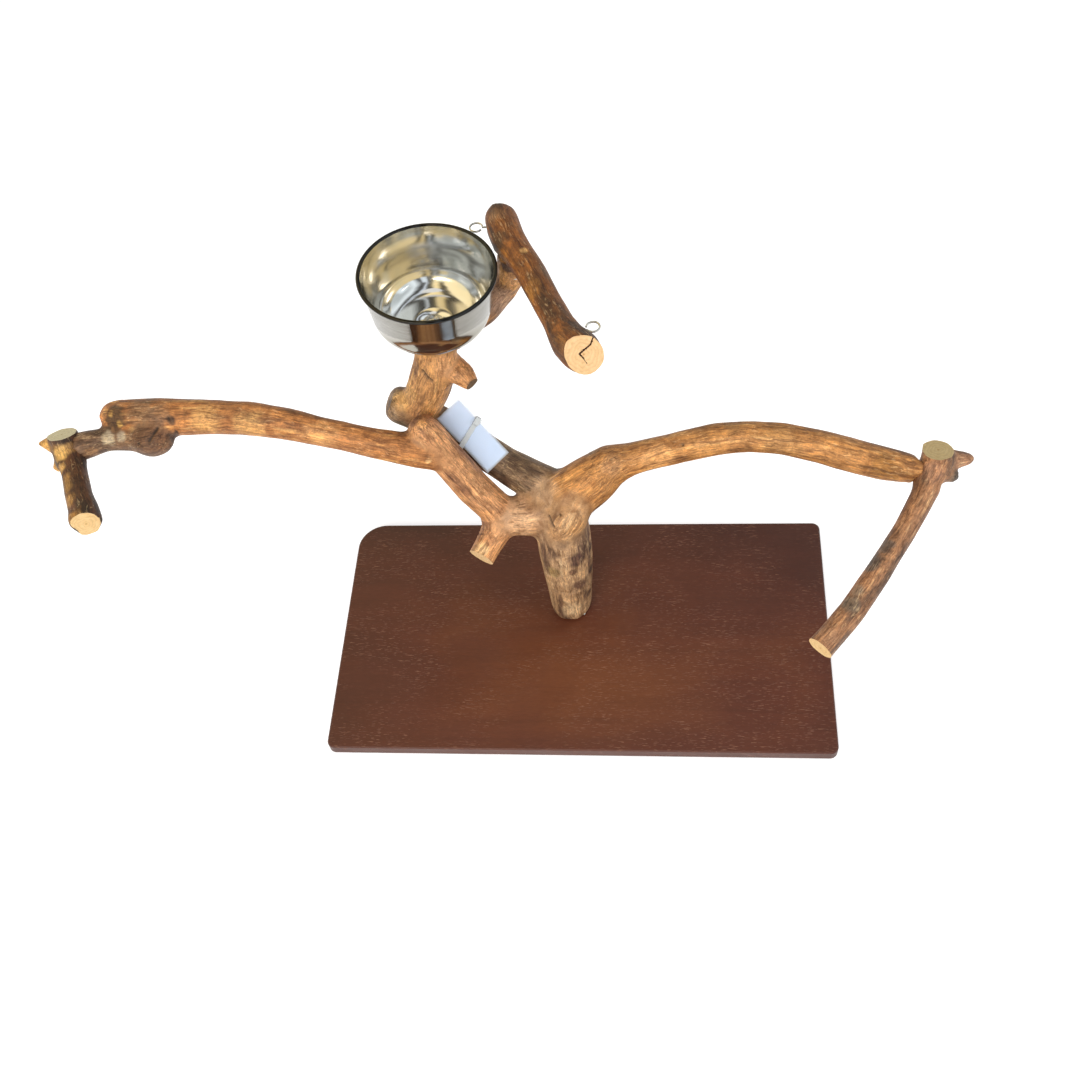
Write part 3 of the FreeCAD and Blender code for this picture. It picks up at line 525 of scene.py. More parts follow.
def room_wall():
    """A banded room with bright windows round the set, which only gloss and polished metal mirror."""
    def build(work):
        lathe(work, ROOM_PROFILE, Matrix.Translation(ROOM_MIDDLE), 64)
    mesh = mesh_from("room_wall", build)
    wall = bpy.data.objects.new("room_wall", mesh)
    bpy.context.scene.collection.objects.link(wall)
    wall.visible_camera = wall.visible_diffuse = wall.visible_shadow = wall.visible_transmission = False
    material = bpy.data.materials.new("room_wall")
    material.use_nodes = True
    tree = material.node_tree
    spot = place_vector(tree)
    sway = times(tree, noise(tree, stretched(tree, spot, (1.6, 1.6, 0.5)), 1.0, 3), 0.16)
    width = node(tree, "ShaderNodeSeparateXYZ", {"Vector": spot}).outputs["X"]
    width = plus(tree, times(tree, width, -0.3), 0.42)
    tone = ramp(tree, plus(tree, width, sway), ROOM_TONES)
    for place, half, colour in WINDOWS:
        gap = vector_maths(tree, "SUBTRACT", spot, place)
        gap = vector_maths(tree, "ABSOLUTE", gap)
        parts = node(tree, "ShaderNodeSeparateXYZ", {"Vector": gap}).outputs
        across = arithmetic(tree, "MAXIMUM", parts["X"], parts["Y"])
        inside = times(tree, spread(tree, across, half[0] + WINDOW_EDGE, half[0] - WINDOW_EDGE),
                       spread(tree, parts["Z"], half[1] + WINDOW_EDGE, half[1] - WINDOW_EDGE))
        tone = blend(tree, inside, tone, colour)
    glow = node(tree, "ShaderNodeEmission", {"Color": tone, "Strength": 1.25})
    tree.links.new(glow.outputs[0], tree.nodes["Material Output"].inputs["Surface"])
    mesh.materials.append(material)


class STAND_OT_stage(bpy.types.Operator):
    """Pale floor, soft lamps and the camera at the photograph's angle"""
    bl_idname = "stand.stage"
    bl_label = "Stage"

    def execute(self, context):
        scene = context.scene
        settings = scene.stand_stage
        camera = bpy.data.objects.new("camera", bpy.data.cameras.new("camera"))
        camera.data.sensor_width = 36
        camera.data.lens = settings.lens
        camera.data.clip_start = 0.05
        camera.matrix_world = Matrix.Translation(settings.camera_place) @ camera_turn(settings).to_4x4()
        scene.collection.objects.link(camera)
        scene.camera = camera
        scene.view_settings.view_transform = "Standard"

        floor_mesh = mesh_from("floor", lambda work: bmesh.ops.create_grid(work, size=4), smooth=False)
        floor = bpy.data.objects.new("floor", floor_mesh)
        scene.collection.objects.link(floor)
        material, tree, shader = finish_of("floor", {"Roughness": 0.95, "Specular IOR Level": 0.1})
        shader.inputs["Base Color"].default_value = (*settings.floor_colour, 1)
        seen = self.seen_rays(tree)
        glow = node(tree, "ShaderNodeEmission", {"Color": (1, 1, 1, 1), "Strength": times(tree, seen, 0.5)})
        both = node(tree, "ShaderNodeAddShader", {0: shader.outputs[0], 1: glow.outputs[0]})
        tree.links.new(both.outputs[0], tree.nodes["Material Output"].inputs["Surface"])
        floor_mesh.materials.append(material)

        scene.world = bpy.data.worlds.new("studio")
        scene.world.use_nodes = True
        sky = scene.world.node_tree
        seen = self.seen_rays(sky)
        shade = sky.nodes["Background"]
        shade.inputs["Color"].default_value = (1, 1, 1, 1)
        sky.links.new(arithmetic(sky, "MAXIMUM", seen, 0.42), shade.inputs["Strength"])

        softbox("front_window", (-0.55, -1.7, 1.35), (0, 0.05, 0.2), (1.5, 1.0), 34, (1, 0.97, 0.93))
        softbox("right_fill", (1.7, -0.6, 1.3), (0.1, 0.1, 0.2), (1.0, 1.0), 11, (0.95, 0.98, 1))
        softbox("top_window", (0.1, 0.4, 2.3), (-0.05, 0.1, 0.2), (1.2, 1.0), 11, (1, 0.98, 0.95),
                mirrored=False)
        room_wall()
        return {"FINISHED"}

    def seen_rays(self, tree):
        """1 for rays from the camera, from a mirror or through glass."""
        path = node(tree, "ShaderNodeLightPath").outputs
        either = arithmetic(tree, "MAXIMUM", path["Is Camera Ray"], path["Is Glossy Ray"])
        return arithmetic(tree, "MAXIMUM", either, path["Is Transmission Ray"])


# ------------------------------------------------------------------ wood
class WoodSettings(bpy.types.PropertyGroup):
    grain_size: FloatProperty(name="Mesh size", description="Size of the wood's facets", default=1.15 * MM,
                              unit="LENGTH")
    smoothing: IntProperty(name="Smoothing", description="Rounds of smoothing of the bare limbs", default=130)
    filling: IntProperty(name="Filling", description="Rounds of smoothing that round out the crotches",
                         default=260)
    relief: FloatProperty(name="Relief", description="Height of the lumps left under the bark",
                          default=1.0 * MM, unit="LENGTH")
    ridge: FloatProperty(name="Ridges", description="Height of the ridges that run along a limb",
                         default=0.5 * MM, unit="LENGTH")


# Marks that the photograph shows: pixel, radius in mm, height of the swelling, depth of the pit.
BRANCH_KNOTS = [((560, 515), 7, 0.6, 3.6), ((576, 523), 12, 1.4, 0.0), ((612, 462), 12, 1.8, 0.0),
                ((683, 445), 2.5, 0.3, 1.8), ((422, 425), 7, 2.0, 0.0), ((150, 438), 15, 2.6, 0.0),
                ((140, 443), 6, 0.4, 1.8), ((90, 446), 6, 1.0, 0.0), ((464, 356), 4, 0.8, 1.6),
                ((118, 420), 10, 1.4, 0.0), ((390, 400), 9, 1.6, 0.0), ((472, 384), 5, 0.0, 1.6),
                ((599, 452), 6, 1.2, 0.0), ((456, 376), 8, 3.2, 0.0), ((447, 384), 8, 2.4, 0.0),
                ((468, 368), 9, 2.2, 0.0), ]
BRANCH_SLITS = [((422, 371), (432, 381), 1.6, 2.4), ((549, 516), (554, 527), 1.3, 2.4),
                ((471, 531), (483, 534), 0.9, 1.2), ((168, 418), (177, 432), 1.2, 1.4),
                ((150, 441), (158, 428), 1.4, 1.6), ]
RIGHT_PERCH_KNOTS = [((884, 560), 9, 0.7, 0.5), ((851, 605), 6, 0.6, 0.6), ((958, 478), 5, 0.6, 1.6)]
LEFT_PERCH_KNOTS = [((74, 470), 8, 0.8, 0.0)]
TOP_PERCH_KNOTS = [((524, 262), 5, 0.6, 0.4), ((556, 322), 6, 0.5, 0.0)]

WELD = 0.01 * MM                     # corners nearer than this are one
FACE_DEPTH = 0.6 * MM                # corners this near an end's plane belong to its flat face
LARGEST_FILL = 5 * MM                # how far a crotch is filled at most
END_SPARE = 8 * MM                   # limbs are made this much too long, then sawn off
TIP_REACH = 7 * MM                   # a butted tip reaches this far into the perch's hollow
CUT_RINGS = 16                       # rings of facets on a sawn face


class SawnEnd:
    """A flat sawn face: its colour, its middle, the way that it looks, and the limb's radius there."""

    def __init__(self, limb, last, colour, look=None):
        index = -1 if last else 0
        self.colour = paint(*colour)
        self.middle = limb.points[index]
        self.radius = limb.radii[index]
        axis = limb.axes[index] * (1 if last else -1)
        self.look = axis if look is None else np.array(look) / np.linalg.norm(look)


def bare_mesh(name, voxel, ends, tips):
    """The node's solid as an even mesh: sawn ends are made too long, butted tips reach into the next piece."""
    work = bmesh.new()
    work.from_mesh(frame["nodes"][name].data)
    bmesh.ops.remove_doubles(work, verts=work.verts, dist=WELD)
    for end, spare in [(end, END_SPARE) for end in ends] + [(end, TIP_REACH) for end in tips]:
        middle, look = Vector(end.middle), Vector(end.look)
        for vert in work.verts:
            away = vert.co - middle
            if abs(away.dot(look)) < FACE_DEPTH and away.length < 1.4 * end.radius:
                vert.co += look * spare
    mesh = bpy.data.meshes.new(name + "_bare")
    work.to_mesh(mesh)
    work.free()
    holder = bpy.data.objects.new(name + "_bare", mesh)
    bpy.context.scene.collection.objects.link(holder)
    even = holder.modifiers.new("even", "REMESH")
    even.mode = "VOXEL"
    even.voxel_size = voxel
    graph = bpy.context.evaluated_depsgraph_get()
    result = bpy.data.meshes.new_from_object(holder.evaluated_get(graph))
    bpy.data.objects.remove(holder)
    return result


def spots_of(mesh):
    spots = np.empty(len(mesh.vertices) * 3)
    mesh.vertices.foreach_get("co", spots)
    return spots.reshape(-1, 3)


def normals_of(mesh):
    normals = np.empty(len(mesh.vertices) * 3)
    mesh.vertex_normals.foreach_get("vector", normals)
    return normals.reshape(-1, 3)


def write_spots(mesh, spots):
    mesh.vertices.foreach_set("co", spots.ravel())
    mesh.update()


def smoothed(mesh, values, rounds):
    """Values at the vertices, each drawn half way to its neighbours' mean, a number of times."""
    edges = np.empty(len(mesh.edges) * 2, int)
    mesh.edges.foreach_get("vertices", edges)
    edges = edges.reshape(-1, 2)
    count = np.bincount(edges.ravel(), minlength=len(values))[:, None]
    for _ in range(rounds):
        total = np.zeros_like(values)
        for column in range(values.shape[1]):
            total[:, column] = np.bincount(edges[:, 0], values[edges[:, 1], column], len(values))
            total[:, column] += np.bincount(edges[:, 1], values[edges[:, 0], column], len(values))
        values = (values + total / count) / 2
    return values


def grain_shares(limbs, spots):
    """Each limb's share in each spot, and each spot's reach and place along each limb."""
    found = [limb.locate(spots) for limb in limbs]
    reach = np.array([near for near, _ in found])
    share = np.clip(1 - (reach - reach.min(axis=0)) / 0.35, 0, 1) ** 2
    return share / share.sum(axis=0), reach.min(axis=0), [place for _, place in found]


def along(place, across, run):
    """A limb place in units of a mark's width across the grain and its length along it."""
    return place / (np.array([across, across, run]) * MM)


def gap_to(others, spots, limit):
    """Each spot's distance from the nearest of the other solids, up to a limit."""
    corners, faces = [], []
    for other in others:
        mesh = frame["nodes"][other].data
        faces += [[len(corners) + vertex for vertex in face.vertices] for face in mesh.polygons]
        corners += [vertex.co.copy() for vertex in mesh.vertices]
    tree = BVHTree.FromPolygons(corners, faces)
    near = [tree.find_nearest(Vector(spot), limit)[3] for spot in spots]
    return np.array([limit if distance is None else distance for distance in near])


def quiet(name, spots):
    """1 where the wood may stray from its solid, less under the bowl's washer and under the tag's strap."""
    calm = np.ones(len(spots))
    if name == "main_branch":
        for other, radius, left in (("seat_washer", 24 * MM, 0.0), ("cable_tie", 46 * MM, 0.3)):
            middle = np.mean(np.array(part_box(other)), axis=0)
            away = np.linalg.norm(spots - middle, axis=1)
            calm = np.minimum(calm, left + (1 - left) * ease(away, radius, radius * 1.5))
    return calm


class Timber:
    """What makes one piece of wood: its node, slot, limbs, sawn ends, butted tips and marks."""

    def __init__(self, name, slot, limbs, ends, tips, touches, knots, slits, patches, finer):
        self.name, self.slot, self.limbs, self.ends, self.tips, self.touches = name, slot, limbs, ends, tips, touches
        self.knots, self.slits, self.patches, self.finer = knots, slits, patches, finer


def grain_of(limb, seed, place, settings):
    """Relief, colour and pale streaks of one limb at places along it."""
    body = rough(along(place, 15, 40), seed, 3)
    ridges = rough(along(place, 4.5, 46), seed + 5, 3)
    middle, dark, pale, dark_amount, pale_amount = LIMB_COLOURS[limb.name]
    cloud = rough(along(place, 9, 36), seed + 10, 4) + 0.35 * body
    mottle = ease(cloud, 0.5 - dark_amount, 0.95 - dark_amount)
    run = rough(along(place, 2.4, 30), seed + 15, 3)
    streak = ease(run + 0.3 * ridges, 0.5 - 0.6 * pale_amount, 0.95 - 0.6 * pale_amount)
    tone = np.array(paint(*middle)) * (1 + 0.2 * rough(along(place, 5, 18), seed + 25, 3))[:, None]
    tone += mottle[:, None] * (np.array(paint(*dark)) - tone) * 0.85
    tone += (streak * (1 - 0.7 * mottle))[:, None] * (np.array(paint(*pale)) - tone) * 0.62
    relief = settings.relief * body + settings.ridge * ridges + 0.14 * MM * (streak - mottle)
    return relief, tone


def carve(timber, settings):
    """The wood of one node: rounded, lumped along its grain, knotted, coloured, then sawn."""
    mesh = bare_mesh(timber.name, settings.grain_size * timber.finer, timber.ends, timber.tips)
    bare = spots_of(mesh)
    rounds = 1 / timber.finer ** 2
    touch = 1 - ease(gap_to(timber.touches, bare, 12 * MM), 2.5 * MM, 9 * MM)
    calm = quiet(timber.name, bare)
    slack = smoothed(mesh, bare, int(settings.smoothing * rounds))
    rounded = slack + smoothed(mesh, bare - slack, int(settings.smoothing * rounds))
    spots = bare + (calm * (1 - touch))[:, None] * (rounded - bare)
    write_spots(mesh, spots)
    shares, reach, places = grain_shares(timber.limbs, spots)
    skin = ease(reach, 0.55, 0.8)
    wide = smoothed(mesh, spots, int(settings.filling * rounds))
    fill = np.einsum("ij,ij->i", wide - spots, normals_of(mesh))
    spots += normals_of(mesh) * (np.clip(fill, 0, LARGEST_FILL) * skin * calm * (1 - touch))[:, None]
    write_spots(mesh, spots)
    upright = normals_of(mesh)

    relief = np.zeros(len(spots))
    colour = np.zeros((len(spots), 3))
    flow = np.zeros((len(spots), 3))
    lead = shares.argmax(axis=0)
    for index, (limb, share, place) in enumerate(zip(timber.limbs, shares, places)):
        here = share > 0
        raised, tone = grain_of(limb, 40 * index + 7, place[here], settings)
        relief[here] += share[here] * raised
        colour[here] += share[here, None] * tone
        chosen = lead == index
        flow[chosen] = place[chosen] + [0, 0, index]
    crowd = ease(1 - shares.max(axis=0), 0.1, 0.6)

    tree = BVHTree.FromPolygons([Vector(spot) for spot in spots],
                                [tuple(face.vertices) for face in mesh.polygons])
    warp = rough(spots / (6 * MM), 71, 3)
    # Patches: mostly the wood's own colour marks, with a few painted shade and painted light patches.
    for pixel, radius, shade, cover in timber.patches:
        away = np.linalg.norm(spots - seen_at(tree, pixel), axis=1) / (radius * MM)
        near = 1 - ease(away + 0.55 * warp, 0.65, 1.45)
        colour += (cover * near)[:, None] * (np.array(paint(*shade)) * (1 + 0.15 * warp)[:, None] - colour)
    dark = 0.22 * crowd
    for pixel, radius, height, depth in timber.knots:
        away = np.linalg.norm(spots - seen_at(tree, pixel), axis=1)
        near = np.exp(-(away / (radius * MM)) ** 2)
        swirl = np.sin(away / (0.55 * MM) + 3.0 * warp)
        relief += MM * (height * near + 0.16 * swirl * near)
        dark = np.maximum(dark, (0.16 + 0.16 * swirl) * near)
        if depth > 0:
            pit = np.exp(-(away / (1.6 * MM) + 0.3 * warp) ** 2)
            relief -= MM * depth * pit
            dark = np.maximum(dark, min(1.0, 0.5 + depth / 4) * pit)
    for first, second, width, depth in timber.slits:
        start = seen_at(tree, first)
        run = seen_at(tree, second) - start
        share = np.clip((spots - start) @ run / run.dot(run), 0, 1)
        away = np.linalg.norm(spots - start - share[:, None] * run, axis=1) / (width * MM)
        relief += MM * (0.35 * np.exp(-(away - 2.2) ** 2) - depth * np.exp(-away ** 2))
        dark = np.maximum(dark, 0.9 * np.exp(-(away / 1.1) ** 2))
    # Painted shade: faces that turn up and back, away from the front lamps, are darkened by up to a third.
    painted_top_shade = 0.34 * ease(upright @ np.array([0.0, 0.6, 0.8]), 0.72, 1.0)
    colour *= ((1 - np.clip(dark, 0, 0.94)) * (1 - painted_top_shade))[:, None]

    lift = (relief + 0.2 * MM) * skin * calm * (1 - touch) + 0.9 * MM * touch * (1 - skin) + 0.3 * MM * touch * skin
    write_spots(mesh, spots + upright * lift[:, None])

    add_layer(mesh, "wood", "FLOAT_COLOR", np.hstack([np.clip(colour, 0, 0.9), np.ones((len(spots), 1))]),
              "color")
    add_layer(mesh, "flow", "FLOAT_VECTOR", flow / MM, "vector")
    add_layer(mesh, "sure", "FLOAT", ease(shares.max(axis=0), 0.6, 1.0), "value")
    for polygon in mesh.polygons:
        polygon.use_smooth = True
    saw(mesh, timber.ends)
    write_spots(mesh, np.clip(spots_of(mesh), CAD_BOX[0], CAD_BOX[1]))
    return mesh


def add_layer(mesh, name, kind, values, field):
    mesh.attributes.new(name, kind, "POINT").data.foreach_set(field,
                                                              np.ascontiguousarray(values,
                                                                                   np.float32).ravel())


def saw(mesh, ends):
    """Saws the spare length off each end and closes it with a round of even rings."""
    work = bmesh.new()
    work.from_mesh(mesh)
    for number, end in enumerate(ends):
        middle, look = Vector(end.middle), Vector(end.look)
        reach = 1.5 * end.radius + END_SPARE
        near = [vert for vert in work.verts if (vert.co - middle).length < reach and vert.is_valid]
        chosen = set(near)
        edges = [edge for edge in work.edges if all(vert in chosen for vert in edge.verts)]
        faces = [face for face in work.faces if all(vert in chosen for vert in face.verts)]
        made = bmesh.ops.bisect_plane(work, geom=near + edges + faces, plane_co=middle, plane_no=look,
                                      clear_outer=True, dist=0.02 * MM)
        cut = {item for item in made["geom_cut"] if isinstance(item, bmesh.types.BMEdge) and item.is_valid
               and len(item.link_faces) == 1}
        loop = longest_loop(cut)
        close_end(work, loop, end, number)
    work.to_mesh(mesh)
    work.free()


def longest_loop(edges):
    """The vertices of the longest closed run of these edges, in order."""
    best = []
    while edges:
        edge = edges.pop()
        start, spot = edge.verts
        loop = [start, spot]
        while True:
            onward = next((other for other in spot.link_edges if other in edges), None)
            if onward is None:
                break
            edges.discard(onward)
            spot = onward.other_vert(spot)
            if spot is start:
                break
            loop.append(spot)
        if len(loop) > len(best):
            best = loop
    return best


def close_end(work, loop, end, number):
    """Rings of facets from the sawn edge to the middle; each corner keeps its place on the face, in mm."""
    if len(loop) < 12:
        raise RuntimeError("sawn end %d has no whole edge" % number)
    centre = sum((vert.co for vert in loop), Vector()) / len(loop)
    normal = Vector(end.look)
    rise = (UP - normal * UP.dot(normal)).normalized() if abs(normal.z) < 0.95 else Vector((0, 1, 0))
    side = rise.cross(normal)
    rings = [loop]
    for ring in range(1, CUT_RINGS):
        share = 1 - ring / CUT_RINGS
        rings.append([work.verts.new(centre + (vert.co - centre) * share) for vert in loop])
    heart = work.verts.new(centre)
    faces = []
    for outer, inner in zip(rings, rings[1:]):
        for step, vert in enumerate(outer):
            after = (step + 1) % len(outer)
            faces.append(work.faces.new([vert, outer[after], inner[after], inner[step]]))
    for step, vert in enumerate(rings[-1]):
        faces.append(work.faces.new([vert, rings[-1][(step + 1) % len(loop)], heart]))
    if faces[0].normal.dot(normal) < 0:
        bmesh.ops.reverse_faces(work, faces=faces)
    layers = work.loops.layers
    place = layers.float_vector.get("cut") or layers.float_vector.new("cut")
    tone = layers.float_color.get("sawn") or layers.float_color.new("sawn")
    for face in faces:
        face.material_index = 1
        face.smooth = False
        for corner in face.loops:
            away = corner.vert.co - centre
            corner[place] = (away.dot(side) / MM, away.dot(rise) / MM, 7.3 * number)
            corner[tone] = (*end.colour, 1)


def peeled_wood(name, sheen):
    """Sanded, peeled wood: its colours are in the mesh, its finest fibres and flecks in the shader."""
    material, tree, shader = finish_of(name, {"Specular IOR Level": 0.4, "Coat Weight": sheen,
                                              "Coat Roughness": 0.4})
    wood = node(tree, "ShaderNodeAttribute", attribute_name="wood").outputs["Color"]
    flow = node(tree, "ShaderNodeAttribute", attribute_name="flow").outputs["Vector"]
    sure = node(tree, "ShaderNodeAttribute", attribute_name="sure").outputs["Fac"]
    spot = place_vector(tree)
    flow = vector_maths(tree, "ADD", flow, swirl_vector(tree, spot, 55, 5.0))
    fibre = noise(tree, stretched(tree, flow, (1.5, 1.5, 0.09)), 1.0, 5, 0.65, 0.4)
    vein = noise(tree, stretched(tree, flow, (0.34, 0.34, 0.03)), 1.0, 5, 0.62, 0.9)
    fleck = noise(tree, stretched(tree, flow, (0.55, 0.55, 0.12)), 1.0, 3, 0.55, 0.7)
    scar = noise(tree, stretched(tree, flow, (0.7, 0.7, 0.1)), 1.3, 3, 0.55, 0.7)
    patch = noise(tree, spot, 38, 2, 0.5)
    speck = noise(tree, spot, 620, 3, 0.6)
    stain = noise(tree, spot, 95, 4, 0.6, 0.5)
    fibres = ramp(tree, fibre, [(0.30, (0.56, 0.52, 0.48)), (0.5, grey(1.0)), (0.70, (1.34, 1.32, 1.26))])
    veins = ramp(tree, vein, [(0.36, (0.5, 0.43, 0.36)), (0.5, grey(1.0)), (0.64, (1.36, 1.32, 1.2))])
    stains = ramp(tree, stain, [(0.32, (0.68, 0.6, 0.52)), (0.52, (1.0, 1.0, 1.0)), (0.68, (1.24, 1.2, 1.1))])
    specks = ramp(tree, speck, [(0.34, grey(0.78)), (0.48, grey(1.0)), (0.7, grey(1.1))])
    toned = blend(tree, sure, wood, tinted(tree, wood, fibres))
    toned = blend(tree, sure, toned, tinted(tree, toned, veins))
    toned = tinted(tree, toned, stains)
    toned = tinted(tree, toned, specks)
    pale = times(tree, spread(tree, fleck, 0.575, 0.64), spread(tree, patch, 0.4, 0.56))
    pale = times(tree, pale, times(tree, sure, 0.62))
    brown = times(tree, spread(tree, scar, 0.595, 0.66), spread(tree, patch, 0.6, 0.44))
    brown = times(tree, brown, times(tree, sure, 0.55))
    light = tinted(tree, toned, (1.8, 1.8, 1.75))
    light = blend(tree, 0.35, light, paint(240, 205, 150))
    toned = blend(tree, pale, toned, light)
    toned = blend(tree, brown, toned, tinted(tree, toned, (0.42, 0.36, 0.32)))
    tree.links.new(toned, shader.inputs["Base Color"])
    tree.links.new(ramp(tree, stain, [(0.3, grey(0.7)), (0.7, grey(0.5))]), shader.inputs["Roughness"])
    height = plus(tree, times(tree, fibre, sure), times(tree, speck, 0.3))
    height = plus(tree, height, times(tree, pale, 0.8))
    height = arithmetic(tree, "SUBTRACT", height, brown)
    bump(tree, shader, height, 0.5 * MM, 0.8)
    return material


def swirl_vector(tree, spot, scale, amount):
    """A soft wander that keeps the fibres from running dead straight."""
    made = node(tree, "ShaderNodeTexNoise", {"Vector": spot, "Scale": scale, "Detail": 2.0})
    centred = vector_maths(tree, "SUBTRACT", made.outputs["Color"], (0.5, 0.5, 0.5))
    return vector_maths(tree, "MULTIPLY", centred, (amount,) * 3)


def line_gap(tree, spot, start, end):
    """How far the spot is from a straight line between two points."""
    run = [far - near for near, far in zip(start, end)]
    away = vector_maths(tree, "SUBTRACT", spot, (*start, 0))
    along_it = vector_maths(tree, "DOT_PRODUCT", away, (*run, 0))
    share = spread(tree, along_it, 0, run[0] ** 2 + run[1] ** 2, "LINEAR")
    back = node(tree, "ShaderNodeVectorMath", {0: (*run, 0), "Scale": share}, operation="SCALE").outputs[0]
    rest = vector_maths(tree, "SUBTRACT", away, back)
    return vector_maths(tree, "LENGTH", rest)


# The dark crack in the top perch's front end, in mm from the face's middle, with half its width at each point.
CRACK = [(8.6, 12.6, 0.9), (6.0, 7.2, 0.7), (0.2, 3.6, 0.9), (-3.2, 1.0, 1.0), (-0.6, -2.6, 0.6),
         (1.8, -7.2, 0.3)]


def sawn_wood(name, ring_depth, crack):
    """A sawn face with faint growth rings, a darker pith and saw marks, and a crack if it has one."""
    material, tree, shader = finish_of(name, {"Roughness": 0.82, "Specular IOR Level": 0.2})
    colour = node(tree, "ShaderNodeAttribute", attribute_name="sawn").outputs["Color"]
    cut = node(tree, "ShaderNodeAttribute", attribute_name="cut").outputs["Vector"]
    flat_cut = vector_maths(tree, "MULTIPLY", cut, (1, 1, 0))
    radius = vector_maths(tree, "LENGTH", flat_cut)
    sway = noise(tree, cut, 0.11, 3)
    fine = noise(tree, cut, 0.5, 3)
    wide = plus(tree, radius, times(tree, sway, 9.0))
    wide = plus(tree, wide, times(tree, fine, 1.2))
    rings = arithmetic(tree, "SINE", times(tree, wide, 2.1), 0.0)
    rings = plus(tree, times(tree, rings, 0.5), 0.5)
    tone = tinted(tree, colour, ramp(tree, rings, [(0.0, grey(1 - ring_depth)), (0.6, grey(1.0)),
                                                       (1.0, grey(1.03))]))
    blotch = noise(tree, cut, 0.22, 4, 0.6)
    tone = tinted(tree, tone, ramp(tree, blotch, [(0.32, (0.9, 0.86, 0.78)), (0.55, grey(1.0)),
                                                      (0.75, grey(1.05))]))
    fleck = noise(tree, cut, 2.4, 4, 0.7)
    tone = tinted(tree, tone, ramp(tree, fleck, [(0.3, (0.84, 0.79, 0.7)), (0.5, grey(1.0)),
                                                     (0.75, grey(1.06))]))
    near = times(tree, radius, 0.5)
    pith = ramp(tree, near, [(0.0, (0.6, 0.46, 0.32)), (0.35, (0.86, 0.8, 0.7)), (0.8, grey(1.0))])
    tone = tinted(tree, tone, pith)
    marks = noise(tree, stretched(tree, cut, (0.12, 2.2, 1)), 1.0, 3, 0.6)
    height = plus(tree, marks, times(tree, rings, 0.3))
    if crack:
        jagged = vector_maths(tree, "ADD", flat_cut, swirl_vector(tree, flat_cut, 0.9, 1.6))
        open_crack = 0.0
        for (x, y, half), (to_x, to_y, to_half) in zip(crack, crack[1:]):
            half_width = (half + to_half) / 2
            here = spread(tree, line_gap(tree, jagged, (x, y), (to_x, to_y)), half_width, half_width * 0.55)
            open_crack = arithmetic(tree, "MAXIMUM", open_crack, here)
        tone = blend(tree, open_crack, tone, paint(58, 34, 20))
        height = arithmetic(tree, "SUBTRACT", height, times(tree, open_crack, 6.0))
    tree.links.new(tone, shader.inputs["Base Color"])
    bump(tree, shader, height, 0.25 * MM, 0.7)
    return material


class STAND_OT_wood(bpy.types.Operator):
    """The forked branch and its three cross perches, peeled, knotted and sawn"""
    bl_idname = "stand.wood"
    bl_label = "Branch and perches"

    def execute(self, context):
        settings = context.scene.stand_wood
        branch = limbs_of(TRUNK_FOOT, BRANCH_LIMBS)
        by_name = {limb.name: limb for limb in branch}
        right = limbs_of(tip(RIGHT_TIP), RIGHT_PERCH_LIMBS)
        left = limbs_of(tip(LEFT_TIP), LEFT_PERCH_LIMBS)
        top = limbs_of(tip(REAR_TIP), TOP_PERCH_LIMBS)
        cream = (234, 198, 144)
        perches = ["right_cross_perch", "left_cross_perch", "top_cross_perch"]
        timbers = [Timber("main_branch", "branch_wood", branch,
                          [SawnEnd(by_name["left_stem"], False, (238, 200, 150)),
                           SawnEnd(by_name["rear_stub"], True, (112, 88, 64))],
                           [SawnEnd(by_name["right_limb"], True, cream)], perches, BRANCH_KNOTS, BRANCH_SLITS,
                           BRANCH_PATCHES, 1.0),
                           Timber("right_cross_perch", "right_perch_wood", right,
                                  [SawnEnd(right[0], False, (186, 164, 120), (0, 0.25, 0.97)),
                                   SawnEnd(right[0], True, cream)], [], ["main_branch"], RIGHT_PERCH_KNOTS,
                                   [], RIGHT_PERCH_PATCHES, 0.8),
                                   Timber("left_cross_perch", "left_perch_wood", left,
                                          [SawnEnd(left[0], False, (222, 210, 172), (-0.1, 0.42, 0.9)),
                                           SawnEnd(left[0], True, cream)], [], ["main_branch"],
                                           LEFT_PERCH_KNOTS, [], LEFT_PERCH_PATCHES, 0.8),
                                           Timber("top_cross_perch", "top_perch_wood", top,
                                                  [SawnEnd(top[0], True, (228, 188, 140), (0.1, -0.8, 0.6))],
                                                  [], ["main_branch"], TOP_PERCH_KNOTS, [], TOP_PERCH_PATCHES,
                                                  0.8), ]
        for timber in timbers:
            mesh = carve(timber, settings)
            crack = CRACK if timber.name == "top_cross_perch" else None
            materials = [peeled_wood(timber.slot, 0.08), sawn_wood(timber.slot + "_sawn", 0.1, crack)]
            piece = new_piece(timber.name + "_carved", mesh, materials)
            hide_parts(timber.name)
        return {"FINISHED"}


# ------------------------------------------------------------------ board and feet
class BoardSettings(bpy.types.PropertyGroup):
    stain: FloatVectorProperty(name="Stain", description="The board's middle colour",
                               default=paint(84, 41, 26), subtype="COLOR")
    # Between them, the ramp from shade to warm stain also carries the painted highlight at the board's front middle
    # and the painted shade at its ends.
    shade: FloatVectorProperty(name="Shade", description="The stain where it is thickest",
                               default=paint(60, 29, 20), subtype="COLOR")
    warm: FloatVectorProperty(name="Warm stain", description="The stain where it is thinnest",
                              default=paint(104, 56, 28), subtype="COLOR")
    pore: FloatVectorProperty(name="Pores", description="The bare wood that shows in the pores",
                              default=paint(170, 118, 90), subtype="COLOR")


